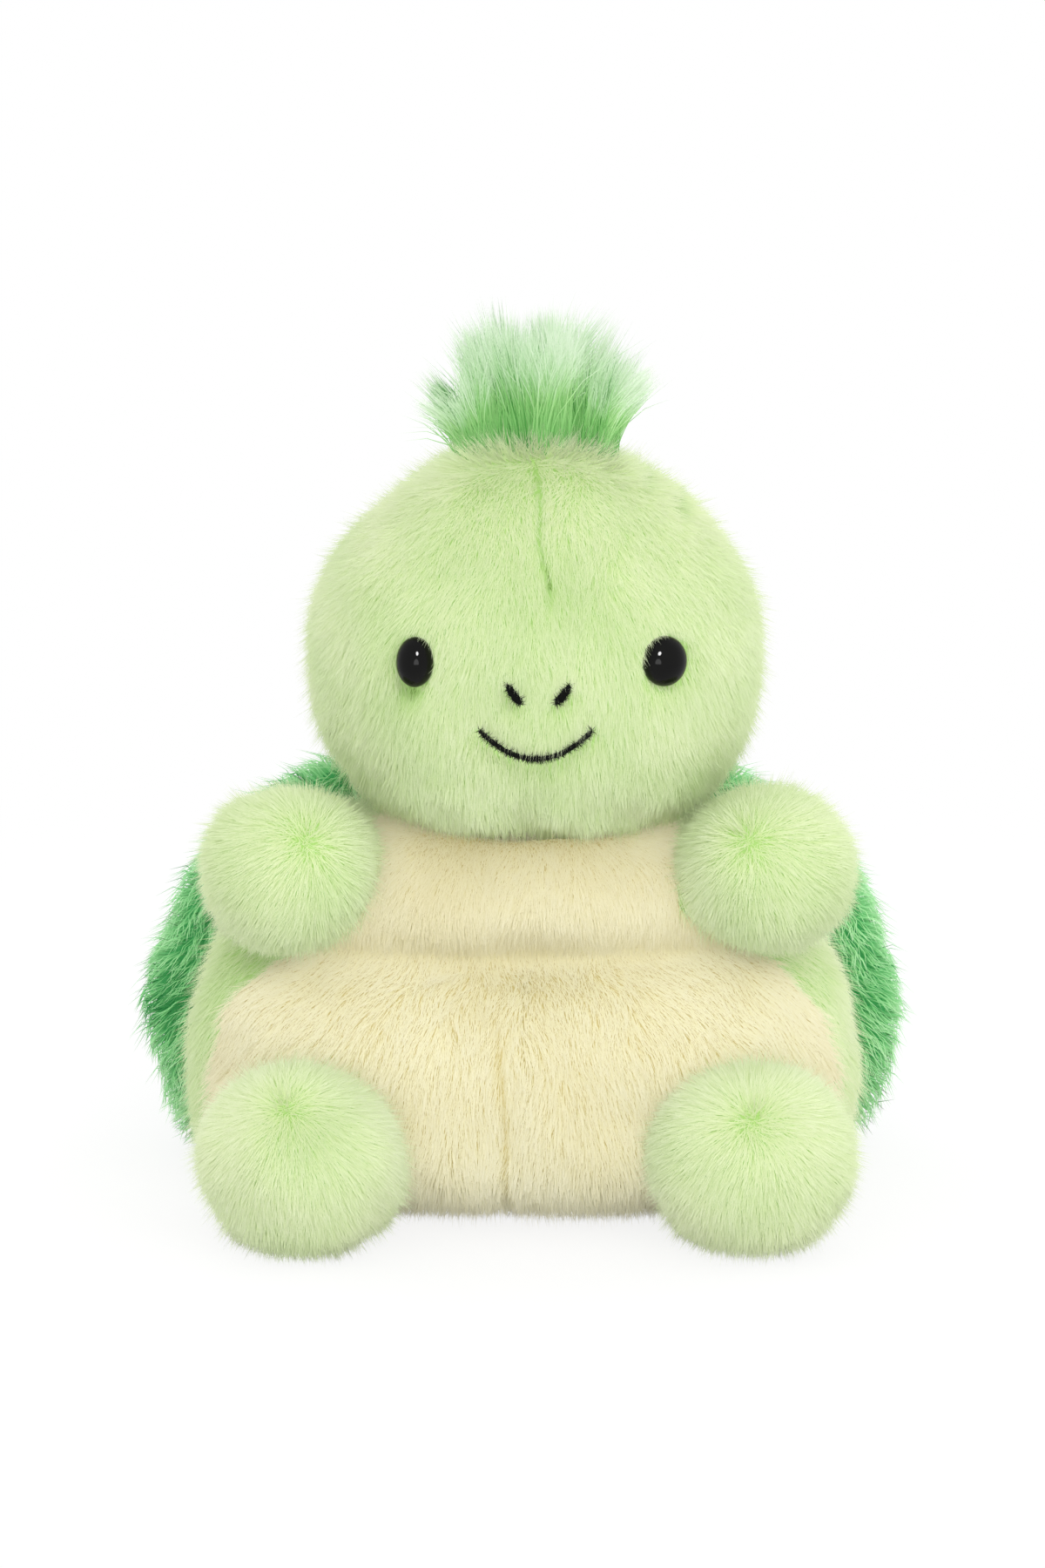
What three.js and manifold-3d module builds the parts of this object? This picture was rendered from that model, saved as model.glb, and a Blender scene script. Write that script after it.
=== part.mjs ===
// Plush turtle sitting upright, built as sewn skins round separate fillings.
// Lengths are millimetres: +Z is up, the face looks along -Y, +X is to the right of someone facing it.
// The origin lies on the table under the middle of the toy. Left and right are as seen from the front.
import * as THREE from 'three';
import { mergeVertices } from 'three/addons/utils/BufferGeometryUtils.js';
import Module from 'manifold-3d';

const wasm = await Module();
wasm.setup();

// Fabric and clearances
const skinWall = 2.2;
const gap = 0.4;
const liningWall = 1.2;
const pouchWall = 0.9;
const overrun = 20;

// Torso: a squat bag, widest low down, with a belly that stands out below the chest
const torsoHeight = 58.5;
const torsoHalfWidth = 47.4;
const bellyReach = 31.5;
const backReach = 27;
const torsoPower = 2.4;
const torsoSides = 24;
const fillingSides = 12;
// Each row: height, half width, reach to the front and reach to the back, as shares of the sizes above
const torsoProfileShares = [
  [0, 0.75, 0.38, 0.66],
  [0.025, 0.84, 0.56, 0.78],
  [0.055, 0.9, 0.72, 0.86],
  [0.095, 0.95, 0.86, 0.92],
  [0.15, 0.985, 0.95, 0.965],
  [0.24, 1, 1, 1],
  [0.4, 0.99, 1, 1],
  [0.5, 0.96, 0.955, 0.99],
  [0.58, 0.915, 0.86, 0.965],
  [0.64, 0.875, 0.74, 0.935],
  [0.685, 0.84, 0.675, 0.91],
  [0.73, 0.8, 0.705, 0.88],
  [0.8, 0.72, 0.73, 0.81],
  [0.87, 0.615, 0.69, 0.7],
  [0.93, 0.47, 0.555, 0.54],
  [0.98, 0.26, 0.3, 0.3],
];
const foldHeightShare = 0.685;
const basePanelSetback = 11.4;
const basePanelFore = 13;
const basePanelAft = 19;

// Outline of the cream panels seen from the front: half width and height as shares of the torso's sizes
const creamCurveSteps = 2;
const creamOutlineShares = [
  [0.43, 0.86],
  [0.45, 0.76],
  [0.55, 0.69],
  [0.71, 0.62],
  [0.85, 0.5],
  [0.9, 0.36],
  [0.89, 0.22],
  [0.83, 0.08],
];

// Head: a round turnip, fuller below its middle than above
const headHalfWidth = 31.6;
const headHalfDepth = 27;
const headHalfHeight = 28.5;
const headRise = 19.6;
const headLean = 1.8;
const headUpperPower = 2;
const headLowerPower = 2.5;
const headPlanPower = 2.2;
const headSides = 20;
const headFillingSides = 10;
const headLevels = 10;
const headSeamSetback = 3;
const headSeatSide = 2.4;
const headSeatFore = 4.4;
const headSeatAft = 3.7;
const headSeatDrop = 1.1;

// Neck filling: a ball in the head on a stem that is anchored in the torso
const neckSetback = 1;
const neckRise = 9;
const neckBallRadius = 9;
const neckStemRadius = 6.5;
const neckAnchorRadius = 9.5;
const neckAnchorHeight = 4;
const neckAnchorDepth = 26;
const neckThroatRadius = 10;
const neckThroatTop = 4.5;
const neckSides = 14;
const neckBallSteps = 8;

// Eyes: oval domes on shanks, held by washers behind the skin
const eyeSpacing = 34.4;
const eyeRise = 2.3;
const eyeHalfWidth = 2.9;
const eyeHalfHeight = 3.4;
const eyeDome = 2.3;
const eyeRim = 0.7;
const eyeShankRadius = 0.9;
const eyeShankLength = 6;
const eyeSides = 12;
const eyeDomeSteps = 5;
const washerRadius = 3.4;
const washerThickness = 1.2;

// Embroidery
const threadRadius = 0.36;
const mouthHalfWidth = 7.6;
const mouthDrop = 6.3;
const mouthSag = 4;
const mouthSteps = 10;
const threadArcSteps = 6;
const nostrilSpacing = 6.6;
const nostrilDrop = 1.2;
const nostrilLength = 3.1;
const nostrilRadius = 0.62;
const nostrilTurn = Math.PI * 0.2;
const nostrilCapSteps = 3;
const nostrilSides = 8;

// Tuft of long pile on the crown
const tuftRise = 17.2;
const tuftHalfWidth = 16;
const tuftHalfDepth = 4.2;
const tuftRoot = 2;
const tuftPower = 2.2;
const tuftSides = 16;
const tuftProfileShares = [
  [0, 0.62, 0.5],
  [0.11, 0.68, 0.55],
  [0.24, 0.82, 0.75],
  [0.46, 1, 1],
  [0.62, 0.95, 1],
  [0.74, 0.82, 0.9],
  [0.88, 0.6, 0.7],
  [1, 0.34, 0.4],
];

// Shell: a padded dome over the whole back
const shellHalfWidth = 53.6;
const shellHeight = 60;
const shellLift = 0.8;
const shellRimRoll = 6;
const shellRimY = 13;
const shellDepth = 31;
const shellPower = 2.15;
const shellProfileShares = [
  [0, 0.8, 0.3, 0.45],
  [0.035, 0.895, 0.6, 0.6],
  [0.08, 0.94, 0.85, 0.72],
  [0.17, 0.975, 1, 0.87],
  [0.3, 1, 1, 0.97],
  [0.42, 0.998, 1, 1],
  [0.56, 0.943, 1, 0.97],
  [0.67, 0.905, 1, 0.9],
  [0.75, 0.85, 1, 0.81],
  [0.84, 0.785, 1, 0.69],
  [0.92, 0.68, 0.9, 0.52],
  [0.97, 0.57, 0.7, 0.38],
  [1, 0.44, 0.4, 0.28],
];

// Arms: short stubs with round ends, held forward; their places are given from the torso's side and top
const armCentre = [-14.6, -20, -7.7];
const armRoot = [-22.4, -1, -11.7];
const armHalfWidth = 12.3;
const armHalfHeight = 11.5;
const armLean = 0.8;
const armTip = 11.6;
const shoulderPivot = [-19.4, -7, -10.1];
const armLiftTilt = Math.PI / 4;
const armLow = -12;
const armHigh = 30;

// Legs: short stubs with round feet, soles to the front; their places are given from its side and the table
const footCentre = [-16.8, -30, 13.2];
const legRoot = [-25.4, -8, 12.4];
const footHalfWidth = 14.6;
const footHalfHeight = 12.9;
const footTip = 14.1;
const hipPivot = [-20.4, -19, 11];
const legLow = 0;
const legHigh = 20;
const limbSides = 16;
const limbFillingSides = 8;
const sweepSteps = 2;

// Distance from root to ball centre is 0 to 1, from ball centre to tip is 1 to 2
const limbProfileShares = [
  [0, 0.62],
  [0.3, 0.72],
  [0.6, 0.88],
  [0.85, 0.98],
  [1, 1],
  [1.25, 0.97],
  [1.5, 0.865],
  [1.72, 0.69],
  [1.88, 0.47],
  [1.97, 0.22],
];

// Bean pouch in the seat
const pouchHeight = 22;
const pouchHalfWidth = 33;
const pouchReach = 18;
const pouchMouthRadius = 5;
const pouchPower = 2.3;
const pouchProfileShares = [
  [0, 0.5],
  [0.07, 0.74],
  [0.16, 0.89],
  [0.38, 1],
  [0.62, 0.94],
  [0.85, 0.72],
  [0.97, 0.4],
];

// Colours
const paleGreen = 0xc6dc9c;
const cream = 0xe6debb;
const darkGreen = 0x5fae69;
const tuftGreen = 0x8ecb78;
const black = 0x141414;
const fillingWhite = 0xf2f0ea;
const pelletWhite = 0xdfe3e6;
const plush = { roughness: 0.95, metalness: 0 };
const glossyPlastic = { roughness: 0.12, metalness: 0 };
const dullPlastic = { roughness: 0.5, metalness: 0 };

const headCentre = new THREE.Vector3(headLean, 0, torsoHeight + headRise);
const neckPivot = new THREE.Vector3(headLean, neckSetback, torsoHeight + neckRise);

// A closed solid from a three.js geometry
function toSolid(geometry) {
  const bare = geometry.index ? geometry.toNonIndexed() : geometry.clone();
  for (const name of Object.keys(bare.attributes)) {
    if (name !== 'position') bare.deleteAttribute(name);
  }
  const merged = mergeVertices(bare);
  return new wasm.Manifold(new wasm.Mesh({
    numProp: 3,
    vertProperties: new Float32Array(merged.attributes.position.array),
    triVerts: new Uint32Array(merged.index.array),
  }));
}

// A three.js geometry from a closed solid
function toGeometry(solid) {
  const mesh = solid.getMesh();
  const geometry = new THREE.BufferGeometry();
  geometry.setAttribute('position', new THREE.BufferAttribute(new Float32Array(mesh.vertProperties), 3));
  geometry.setIndex(new THREE.BufferAttribute(new Uint32Array(mesh.triVerts), 1));
  geometry.computeVertexNormals();
  return geometry;
}

// Signed power: keeps the sign of the base
function signedPower(value, power) {
  return Math.sign(value) * Math.abs(value) ** power;
}

// A closed loft through level rings, flat at both ends
// Each row gives x, y and z of the ring's centre, its half width, and its reach to the front and back
function loft(rows, power, sides) {
  const positions = [];
  const faces = [];
  for (const row of rows) {
    for (let i = 0; i < sides; i += 1) {
      const angle = (2 * Math.PI * i) / sides;
      const across = signedPower(Math.cos(angle), 2 / power);
      const along = signedPower(Math.sin(angle), 2 / power);
      const reach = along < 0 ? row.front : row.back;
      positions.push(row.x + across * row.wide, row.y + along * reach, row.z);
    }
  }
  for (const row of [rows[0], rows[rows.length - 1]]) {
    positions.push(row.x, row.y, row.z);
  }
  const bottomPole = rows.length * sides;
  const topPole = bottomPole + 1;
  const lastRing = (rows.length - 1) * sides;
  for (let i = 0; i < sides; i += 1) {
    const next = (i + 1) % sides;
    faces.push(bottomPole, next, i, topPole, lastRing + i, lastRing + next);
    for (let level = 0; level < rows.length - 1; level += 1) {
      const low = level * sides;
      const high = low + sides;
      faces.push(low + i, low + next, high + next, low + i, high + next, high + i);
    }
  }
  const geometry = new THREE.BufferGeometry();
  geometry.setAttribute('position', new THREE.Float32BufferAttribute(positions, 3));
  geometry.setIndex(faces);
  return geometry;
}

// Torso drawn in by an inset, or grown by a negative one, as a bag with a flat seat
function torsoForm(inset, sides) {
  const rows = torsoProfileShares.map(([height, wide, front, back]) => ({
    x: 0,
    y: 0,
    z: inset + height * (torsoHeight - 2 * inset),
    wide: wide * (torsoHalfWidth - inset),
    front: front * (bellyReach - inset),
    back: back * (backReach - inset),
  }));
  return toSolid(loft(rows, torsoPower, sides)).subtract(headSeat(inset));
}

// Half size of the head at a height above its centre, as a share of its widest
function headShareAt(rise) {
  const power = rise > 0 ? headUpperPower : headLowerPower;
  return Math.max(1 - Math.abs(rise) ** power, 0) ** (1 / power);
}

// Level rings of a head of the given half width, reach to the front and back, and half height
function headRows(wide, front, back, tall, levels) {
  const rows = [];
  for (let i = 0; i <= levels; i += 1) {
    const rise = -Math.cos((Math.PI * (i + 0.5)) / (levels + 1));
    const share = headShareAt(rise);
    rows.push({
      x: headCentre.x,
      y: headCentre.y,
      z: headCentre.z + rise * tall,
      wide: share * wide,
      front: share * front,
      back: share * back,
    });
  }
  return rows;
}

// Head drawn in by an inset, or grown by a negative one
function headForm(inset, sides, levels) {
  return toSolid(loft(headRows(
    headHalfWidth - inset,
    headHalfDepth - inset,
    headHalfDepth - inset,
    headHalfHeight - inset,
    levels,
  ), headPlanPower, sides));
}

// Room that the head needs while it turns and nods: the head grown by its clearances on each side
function headSeat(inset) {
  return toSolid(loft(headRows(
    headHalfWidth + headSeatSide + inset,
    headHalfDepth + headSeatFore + inset,
    headHalfDepth + headSeatAft + inset,
    headHalfHeight + headSeatDrop + inset,
    headLevels,
  ), headPlanPower, torsoSides));
}

// Neck filling grown by a clearance: anchor disc, stem and ball on one upright axis
function neckForm(clearance) {
  const anchorTop = neckAnchorHeight - neckAnchorDepth + clearance;
  const anchorBottom = -neckAnchorDepth - clearance;
  const ball = neckBallRadius + clearance;
  const stem = neckStemRadius + clearance;
  const points = [
    new THREE.Vector2(0, anchorBottom),
    new THREE.Vector2(neckAnchorRadius + clearance, anchorBottom),
    new THREE.Vector2(neckAnchorRadius + clearance, anchorTop),
    new THREE.Vector2(stem, anchorTop),
  ];
  const start = Math.asin(stem / ball);
  for (let i = 0; i <= neckBallSteps; i += 1) {
    const angle = start + ((Math.PI - start) * i) / neckBallSteps;
    points.push(new THREE.Vector2(ball * Math.sin(angle), -ball * Math.cos(angle)));
  }
  points[points.length - 1].x = 0;
  return toSolid(uprightLathe(points, neckSides).translate(neckPivot.x, neckPivot.y, neckPivot.z));
}

// A lathe turned to stand on Z
function uprightLathe(points, sides) {
  const geometry = new THREE.LatheGeometry(points, sides);
  geometry.rotateX(Math.PI / 2);
  return geometry;
}

// The flared throat in the head that the neck passes through as the head nods
function neckThroat() {
  const points = [
    new THREE.Vector2(0, -neckAnchorDepth),
    new THREE.Vector2(neckThroatRadius, -neckAnchorDepth),
    new THREE.Vector2(neckThroatRadius, -neckThroatTop),
    new THREE.Vector2(0, 0),
  ];
  return toSolid(uprightLathe(points, neckSides).translate(neckPivot.x, neckPivot.y, neckPivot.z));
}

// Upright prism under the torso that parts the base panel from the rest of the skin
function basePrism(grow) {
  const row = {
    x: 0,
    y: 0,
    wide: torsoHalfWidth - basePanelSetback + grow,
    front: basePanelFore + grow,
    back: basePanelAft + grow,
  };
  const rows = [{ ...row, z: -overrun }, { ...row, z: torsoHeight / 2 }];
  return toSolid(loft(rows, torsoPower, torsoSides));
}

// Everything between two heights
function slab(low, high) {
  const span = 4 * (torsoHalfWidth + overrun);
  const geometry = new THREE.BoxGeometry(span, span, high - low);
  geometry.translate(0, 0, (low + high) / 2);
  return toSolid(geometry);
}

// Everything on one side of an upright plane: axis x or y, above or below the given place
function halfSpace(axis, place, side) {
  const span = 4 * (torsoHalfWidth + torsoHeight + overrun);
  const geometry = new THREE.BoxGeometry(span, span, span);
  const shift = place + (side * span) / 2;
  geometry.translate(axis === 'x' ? shift : 0, axis === 'y' ? shift : 0, 0);
  return toSolid(geometry);
}

// Upright prism of the cream panels, running forward from the torso's middle
function creamPrism(grow) {
  const edge = creamOutlineShares.map(([wide, height]) => new THREE.Vector2(
    wide * torsoHalfWidth + grow,
    height * torsoHeight,
  ));
  const mirrored = edge.map((point) => new THREE.Vector2(-point.x, point.y)).reverse();
  const shape = new THREE.Shape();
  shape.moveTo(edge[0].x, torsoHeight + overrun);
  shape.lineTo(edge[0].x, edge[0].y);
  shape.splineThru(edge.slice(1));
  shape.lineTo(edge[edge.length - 1].x, -overrun);
  shape.lineTo(mirrored[0].x, -overrun);
  shape.lineTo(mirrored[0].x, mirrored[0].y);
  shape.splineThru(mirrored.slice(1));
  shape.lineTo(mirrored[mirrored.length - 1].x, torsoHeight + overrun);
  const geometry = new THREE.ExtrudeGeometry(shape, {
    depth: bellyReach + overrun,
    bevelEnabled: false,
    curveSegments: creamCurveSteps,
  });
  geometry.rotateX(Math.PI / 2);
  return toSolid(geometry);
}

// Bean pouch drawn in by an inset
function pouchForm(inset, sides) {
  const floor = skinWall + gap;
  const rows = pouchProfileShares.map(([height, share]) => ({
    x: 0,
    y: 0,
    z: floor + inset + height * (pouchHeight - 2 * inset),
    wide: share * (pouchHalfWidth - inset),
    front: share * (pouchReach - inset),
    back: share * (pouchReach - inset),
  }));
  return toSolid(loft(rows, pouchPower, sides));
}

// Shell drawn in by an inset
function shellForm(inset, sides) {
  const rows = shellProfileShares.map(([height, wide, roll, depth]) => ({
    x: 0,
    y: shellRimY,
    z: shellLift + inset + height * (shellHeight - 2 * inset),
    wide: wide * (shellHalfWidth - inset),
    front: roll * (shellRimRoll - inset),
    back: depth * (shellDepth - inset),
  }));
  return toSolid(loft(rows, shellPower, sides));
}

// Y of the head's front at a place across and up from its centre
function headFront(across, rise) {
  const share = headShareAt(rise / headHalfHeight);
  const spread = Math.abs(across / (share * headHalfWidth)) ** headPlanPower;
  return -share * headHalfDepth * (1 - spread) ** (1 / headPlanPower);
}

// Point of the head's front, lifted off along the outward normal, and that normal
function onFace(across, rise, lift) {
  const probe = threadRadius;
  const at = (x, z) => new THREE.Vector3(x, headFront(x, z), z);
  const alongX = at(across + probe, rise).sub(at(across - probe, rise));
  const alongZ = at(across, rise + probe).sub(at(across, rise - probe));
  const normal = alongX.cross(alongZ).normalize();
  const point = at(across, rise).addScaledVector(normal, lift).add(headCentre);
  return { point, normal };
}

// Matrix that stands a piece on the face: its Y along the outward normal, its Z up the face
function faceFrame(across, rise, lift) {
  const { point, normal } = onFace(across, rise, lift);
  const right = new THREE.Vector3(0, 0, 1).cross(normal).normalize();
  const up = normal.clone().cross(right);
  return new THREE.Matrix4().makeBasis(right.negate(), normal, up).setPosition(point);
}

// Eye dome with shank, grown by a clearance
function eyeForm(side, clearance) {
  const across = (side * eyeSpacing) / 2;
  const rim = 1 + clearance / eyeHalfWidth;
  const shank = (eyeShankRadius + clearance) / eyeHalfWidth;
  const points = [
    new THREE.Vector2(0, -eyeShankLength - clearance),
    new THREE.Vector2(shank, -eyeShankLength - clearance),
    new THREE.Vector2(shank, -eyeRim - clearance),
    new THREE.Vector2(rim, -eyeRim - clearance),
  ];
  for (let i = 0; i <= eyeDomeSteps; i += 1) {
    const angle = (Math.PI / 2) * (i / eyeDomeSteps);
    points.push(new THREE.Vector2(rim * Math.cos(angle), (eyeDome + clearance) * Math.sin(angle)));
  }
  points[points.length - 1].x = 0;
  const geometry = new THREE.LatheGeometry(points, eyeSides);
  geometry.scale(eyeHalfWidth, 1, eyeHalfHeight);
  geometry.applyMatrix4(faceFrame(across, eyeRise, 0));
  return toSolid(geometry);
}

// Washer on an eye's shank behind the skin, grown by a clearance
function washerForm(side, clearance) {
  const across = (side * eyeSpacing) / 2;
  const front = -skinWall - 2 * gap + clearance;
  const back = -skinWall - 2 * gap - washerThickness - clearance;
  const bore = eyeShankRadius * Math.max(eyeHalfHeight / eyeHalfWidth, 1) + gap - clearance;
  const points = [
    new THREE.Vector2(bore, back),
    new THREE.Vector2(washerRadius + clearance, back),
    new THREE.Vector2(washerRadius + clearance, front),
    new THREE.Vector2(bore, front),
    new THREE.Vector2(bore, back),
  ];
  const geometry = new THREE.LatheGeometry(points, eyeSides);
  geometry.applyMatrix4(faceFrame(across, eyeRise, 0));
  return toSolid(geometry);
}

// Nostril: a short fat stitch lying on the face, its lower end turned inwards
function nostrilForm(side) {
  const bar = nostrilLength - 2 * nostrilRadius;
  const geometry = new THREE.CapsuleGeometry(nostrilRadius, bar, nostrilCapSteps, nostrilSides);
  geometry.rotateX(Math.PI / 2);
  geometry.rotateY(side * nostrilTurn);
  geometry.applyMatrix4(faceFrame((side * nostrilSpacing) / 2, -nostrilDrop, nostrilRadius + gap));
  return toSolid(geometry);
}

// Mouth: one line of thread that sags in the middle, as a tube along the face
function mouthForm() {
  const points = [];
  for (let i = 0; i <= mouthSteps; i += 1) {
    const share = (2 * i) / mouthSteps - 1;
    const rise = -mouthDrop - mouthSag * (1 - share * share);
    points.push(onFace(share * mouthHalfWidth, rise, threadRadius + gap).point);
  }
  const section = new THREE.Shape();
  section.absarc(0, 0, threadRadius, 0, 2 * Math.PI);
  const geometry = new THREE.ExtrudeGeometry(section, {
    steps: mouthSteps,
    curveSegments: threadArcSteps,
    extrudePath: new THREE.CatmullRomCurve3(points),
    bevelEnabled: false,
  });
  return toSolid(geometry);
}

// Tuft: a fan of long pile, narrow where it is sewn in
function tuftForm() {
  const floor = headCentre.z + headHalfHeight - tuftRoot;
  const rows = tuftProfileShares.map(([height, wide, deep]) => ({
    x: headCentre.x,
    y: headCentre.y,
    z: floor + height * (tuftRise + tuftRoot),
    wide: wide * tuftHalfWidth,
    front: deep * tuftHalfDepth,
    back: deep * tuftHalfDepth,
  }));
  return toSolid(loft(rows, tuftPower, tuftSides)).subtract(headForm(-gap, headSides, headLevels));
}

// A limb's place on one side of the toy, with the lean that its pair shares
function placed(limb, place, side) {
  const across = side * (torsoHalfWidth + place[0]) + limb.lean;
  return new THREE.Vector3(across, place[1], limb.level + place[2]);
}

// Limb from its root to its round end, drawn in by an inset, on one side of the toy
function limbForm(limb, side, inset, sides) {
  const centre = placed(limb, limb.centre, side);
  const root = placed(limb, limb.root, side);
  const length = centre.distanceTo(root);
  const points = [new THREE.Vector2(0, -length)];
  for (const [place, share] of limbProfileShares) {
    const along = place < 1 ? (place - 1) * length : (place - 1) * (limb.tip - inset);
    points.push(new THREE.Vector2(share, along));
  }
  points.push(new THREE.Vector2(0, limb.tip - inset));
  const geometry = new THREE.LatheGeometry(points, sides);
  geometry.scale(limb.wide - inset, 1, limb.tall - inset);
  const forward = centre.clone().sub(root).normalize();
  const right = forward.clone().cross(new THREE.Vector3(0, 0, 1)).normalize();
  const up = right.clone().cross(forward);
  geometry.applyMatrix4(new THREE.Matrix4().makeBasis(right, forward, up).setPosition(centre));
  return toSolid(geometry);
}

// What a still solid takes away from a part that swings about an axis, joined over the swing
function sweptAway(solid, pivot, axis, low, high) {
  let all = solid;
  for (let i = 0; i <= sweepSteps; i += 1) {
    const turn = THREE.MathUtils.degToRad(-(low + ((high - low) * i) / sweepSteps));
    const move = new THREE.Matrix4().makeTranslation(pivot.x, pivot.y, pivot.z)
      .multiply(new THREE.Matrix4().makeRotationAxis(axis, turn))
      .multiply(new THREE.Matrix4().makeTranslation(-pivot.x, -pivot.y, -pivot.z));
    all = all.add(toSolid(toGeometry(solid).applyMatrix4(move)));
  }
  return all;
}

// Skin and filling of one limb, cut back from what it swings against
function buildLimb(limb, side, still) {
  const pivot = placed(limb, limb.pivot, side);
  const axis = new THREE.Vector3(-Math.cos(limb.tilt), 0, side * Math.sin(limb.tilt));
  const near = sweptAway(still, pivot, axis, limb.low, limb.high);
  const outer = limbForm(limb, side, 0, limbSides);
  const inner = limbForm(limb, side, skinWall, limbSides);
  const core = limbForm(limb, side, skinWall + gap, limbFillingSides);
  return {
    pivot,
    skin: outer.subtract(inner).subtract(near),
    filling: core.subtract(near),
  };
}

const limbs = {
  arm: {
    centre: armCentre, root: armRoot, wide: armHalfWidth, tall: armHalfHeight, tip: armTip,
    pivot: shoulderPivot, level: torsoHeight, tilt: armLiftTilt, lean: armLean, low: armLow, high: armHigh,
  },
  leg: {
    centre: footCentre, root: legRoot, wide: footHalfWidth, tall: footHalfHeight, tip: footTip,
    pivot: hipPivot, level: 0, tilt: 0, lean: 0, low: legLow, high: legHigh,
  },
};

// A named mesh in world coordinates
function piece(name, solid, color, finish) {
  const mesh = new THREE.Mesh(toGeometry(solid), new THREE.MeshStandardMaterial({ color, ...finish }));
  mesh.name = name;
  return mesh;
}

// A group at a joint's pivot that holds the meshes moving about it
function groupAt(pivot, meshes) {
  const group = new THREE.Group();
  group.position.copy(pivot);
  for (const mesh of meshes) {
    mesh.geometry.translate(-pivot.x, -pivot.y, -pivot.z);
    group.add(mesh);
  }
  return group;
}

// Torso skins, fillings and the bean pouch
function buildTorso() {
  const hole = neckForm(gap);
  const skin = torsoForm(0, torsoSides).subtract(torsoForm(skinWall, torsoSides)).subtract(hole);
  const upper = skin.subtract(basePrism(gap));
  const base = skin.intersect(basePrism(0));
  const front = upper.intersect(creamPrism(0));
  const back = upper.subtract(creamPrism(gap));
  const fold = foldHeightShare * torsoHeight;
  const chest = front.intersect(slab(fold + gap / 2, torsoHeight + overrun));
  const belly = front.intersect(slab(-overrun, fold - gap / 2));
  const core = torsoForm(skinWall + gap, fillingSides);
  const pouch = pouchForm(0, fillingSides);
  const mouthCut = uprightLathe([
    new THREE.Vector2(0, 0),
    new THREE.Vector2(pouchMouthRadius, 0),
    new THREE.Vector2(pouchMouthRadius, pouchHeight),
    new THREE.Vector2(0, pouchHeight),
  ], neckSides).translate(0, 0, pouchHeight / 2);
  const bag = pouch.subtract(pouchForm(pouchWall, fillingSides)).subtract(toSolid(mouthCut));
  const well = pouchForm(-gap, fillingSides);
  return groupAt(new THREE.Vector3(), [
    piece('chest_panel', chest, cream, plush),
    piece('belly_panel_left', belly.intersect(halfSpace('x', -gap / 2, -1)), cream, plush),
    piece('belly_panel_right', belly.intersect(halfSpace('x', gap / 2, 1)), cream, plush),
    piece('back_skin', back, paleGreen, plush),
    piece('base_panel', base, paleGreen, plush),
    piece('torso_filling', core.subtract(hole).subtract(well), fillingWhite, plush),
    piece('bean_pouch', bag, fillingWhite, plush),
    piece('bean_fill', pouchForm(pouchWall + gap, fillingSides), pelletWhite, dullPlastic),
  ]);
}

// Shell cover, lining and filling, cut back from the torso and from the room the head needs
function buildShell() {
  const room = torsoForm(-gap, torsoSides).add(headSeat(gap));
  const lined = torsoForm(-gap - liningWall, torsoSides).add(headSeat(gap + liningWall));
  const padded = torsoForm(-2 * gap - liningWall, torsoSides).add(headSeat(2 * gap + liningWall));
  const inside = shellForm(skinWall, torsoSides);
  const core = shellForm(skinWall + gap, torsoSides);
  return groupAt(new THREE.Vector3(), [
    piece('shell_cover', shellForm(0, torsoSides).subtract(inside).subtract(room), darkGreen, plush),
    piece('shell_lining', core.intersect(lined).subtract(room), darkGreen, plush),
    piece('shell_filling', core.subtract(padded), fillingWhite, plush),
  ]);
}

// Head skins, filling, eyes, embroidery and tuft
function buildHead() {
  const eyes = eyeForm(-1, gap).add(eyeForm(1, gap));
  const washers = washerForm(-1, gap).add(washerForm(1, gap));
  const outer = headForm(0, headSides, headLevels);
  const inner = headForm(skinWall, headSides, headLevels);
  const throat = neckThroat().add(neckForm(gap));
  const skin = outer.subtract(inner).subtract(throat).subtract(eyes);
  const core = headForm(skinWall + gap, headFillingSides, headLevels);
  const filling = core.subtract(throat).subtract(eyes).subtract(washers);
  return groupAt(neckPivot, [
    piece('head_front', skin.intersect(halfSpace('y', headSeamSetback, -1)), paleGreen, plush),
    piece('head_back', skin.intersect(halfSpace('y', headSeamSetback + gap, 1)), paleGreen, plush),
    piece('head_filling', filling, fillingWhite, plush),
    piece('eye_left', eyeForm(-1, 0), black, glossyPlastic),
    piece('eye_right', eyeForm(1, 0), black, glossyPlastic),
    piece('eye_washer_left', washerForm(-1, 0), pelletWhite, dullPlastic),
    piece('eye_washer_right', washerForm(1, 0), pelletWhite, dullPlastic),
    piece('nostril_left', nostrilForm(-1), black, plush),
    piece('nostril_right', nostrilForm(1), black, plush),
    piece('mouth', mouthForm(), black, plush),
    piece('tuft', tuftForm(), tuftGreen, plush),
  ]);
}

// Left and right arm and leg
function buildLimbs() {
  const torso = torsoForm(-gap, torsoSides);
  const groups = [];
  for (const [kind, limb] of Object.entries(limbs)) {
    for (const [label, side] of [['left', -1], ['right', 1]]) {
      const { pivot, skin, filling } = buildLimb(limb, side, torso);
      groups.push(groupAt(pivot, [
        piece(`${kind}_${label}_skin`, skin, paleGreen, plush),
        piece(`${kind}_${label}_filling`, filling, fillingWhite, plush),
      ]));
    }
  }
  return groups;
}

const turtle = new THREE.Group();
turtle.add(buildTorso());
turtle.add(buildShell());
turtle.add(groupAt(neckPivot, [piece('neck_filling', neckForm(0), fillingWhite, plush)]));
turtle.add(buildHead());
for (const limb of buildLimbs()) {
  turtle.add(limb);
}

export default turtle;
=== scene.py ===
"""Looks of a palm-sized plush turtle: sewn skins round fillings, short pile, a curly shell and a long tuft."""
import math
from dataclasses import dataclass

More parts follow.
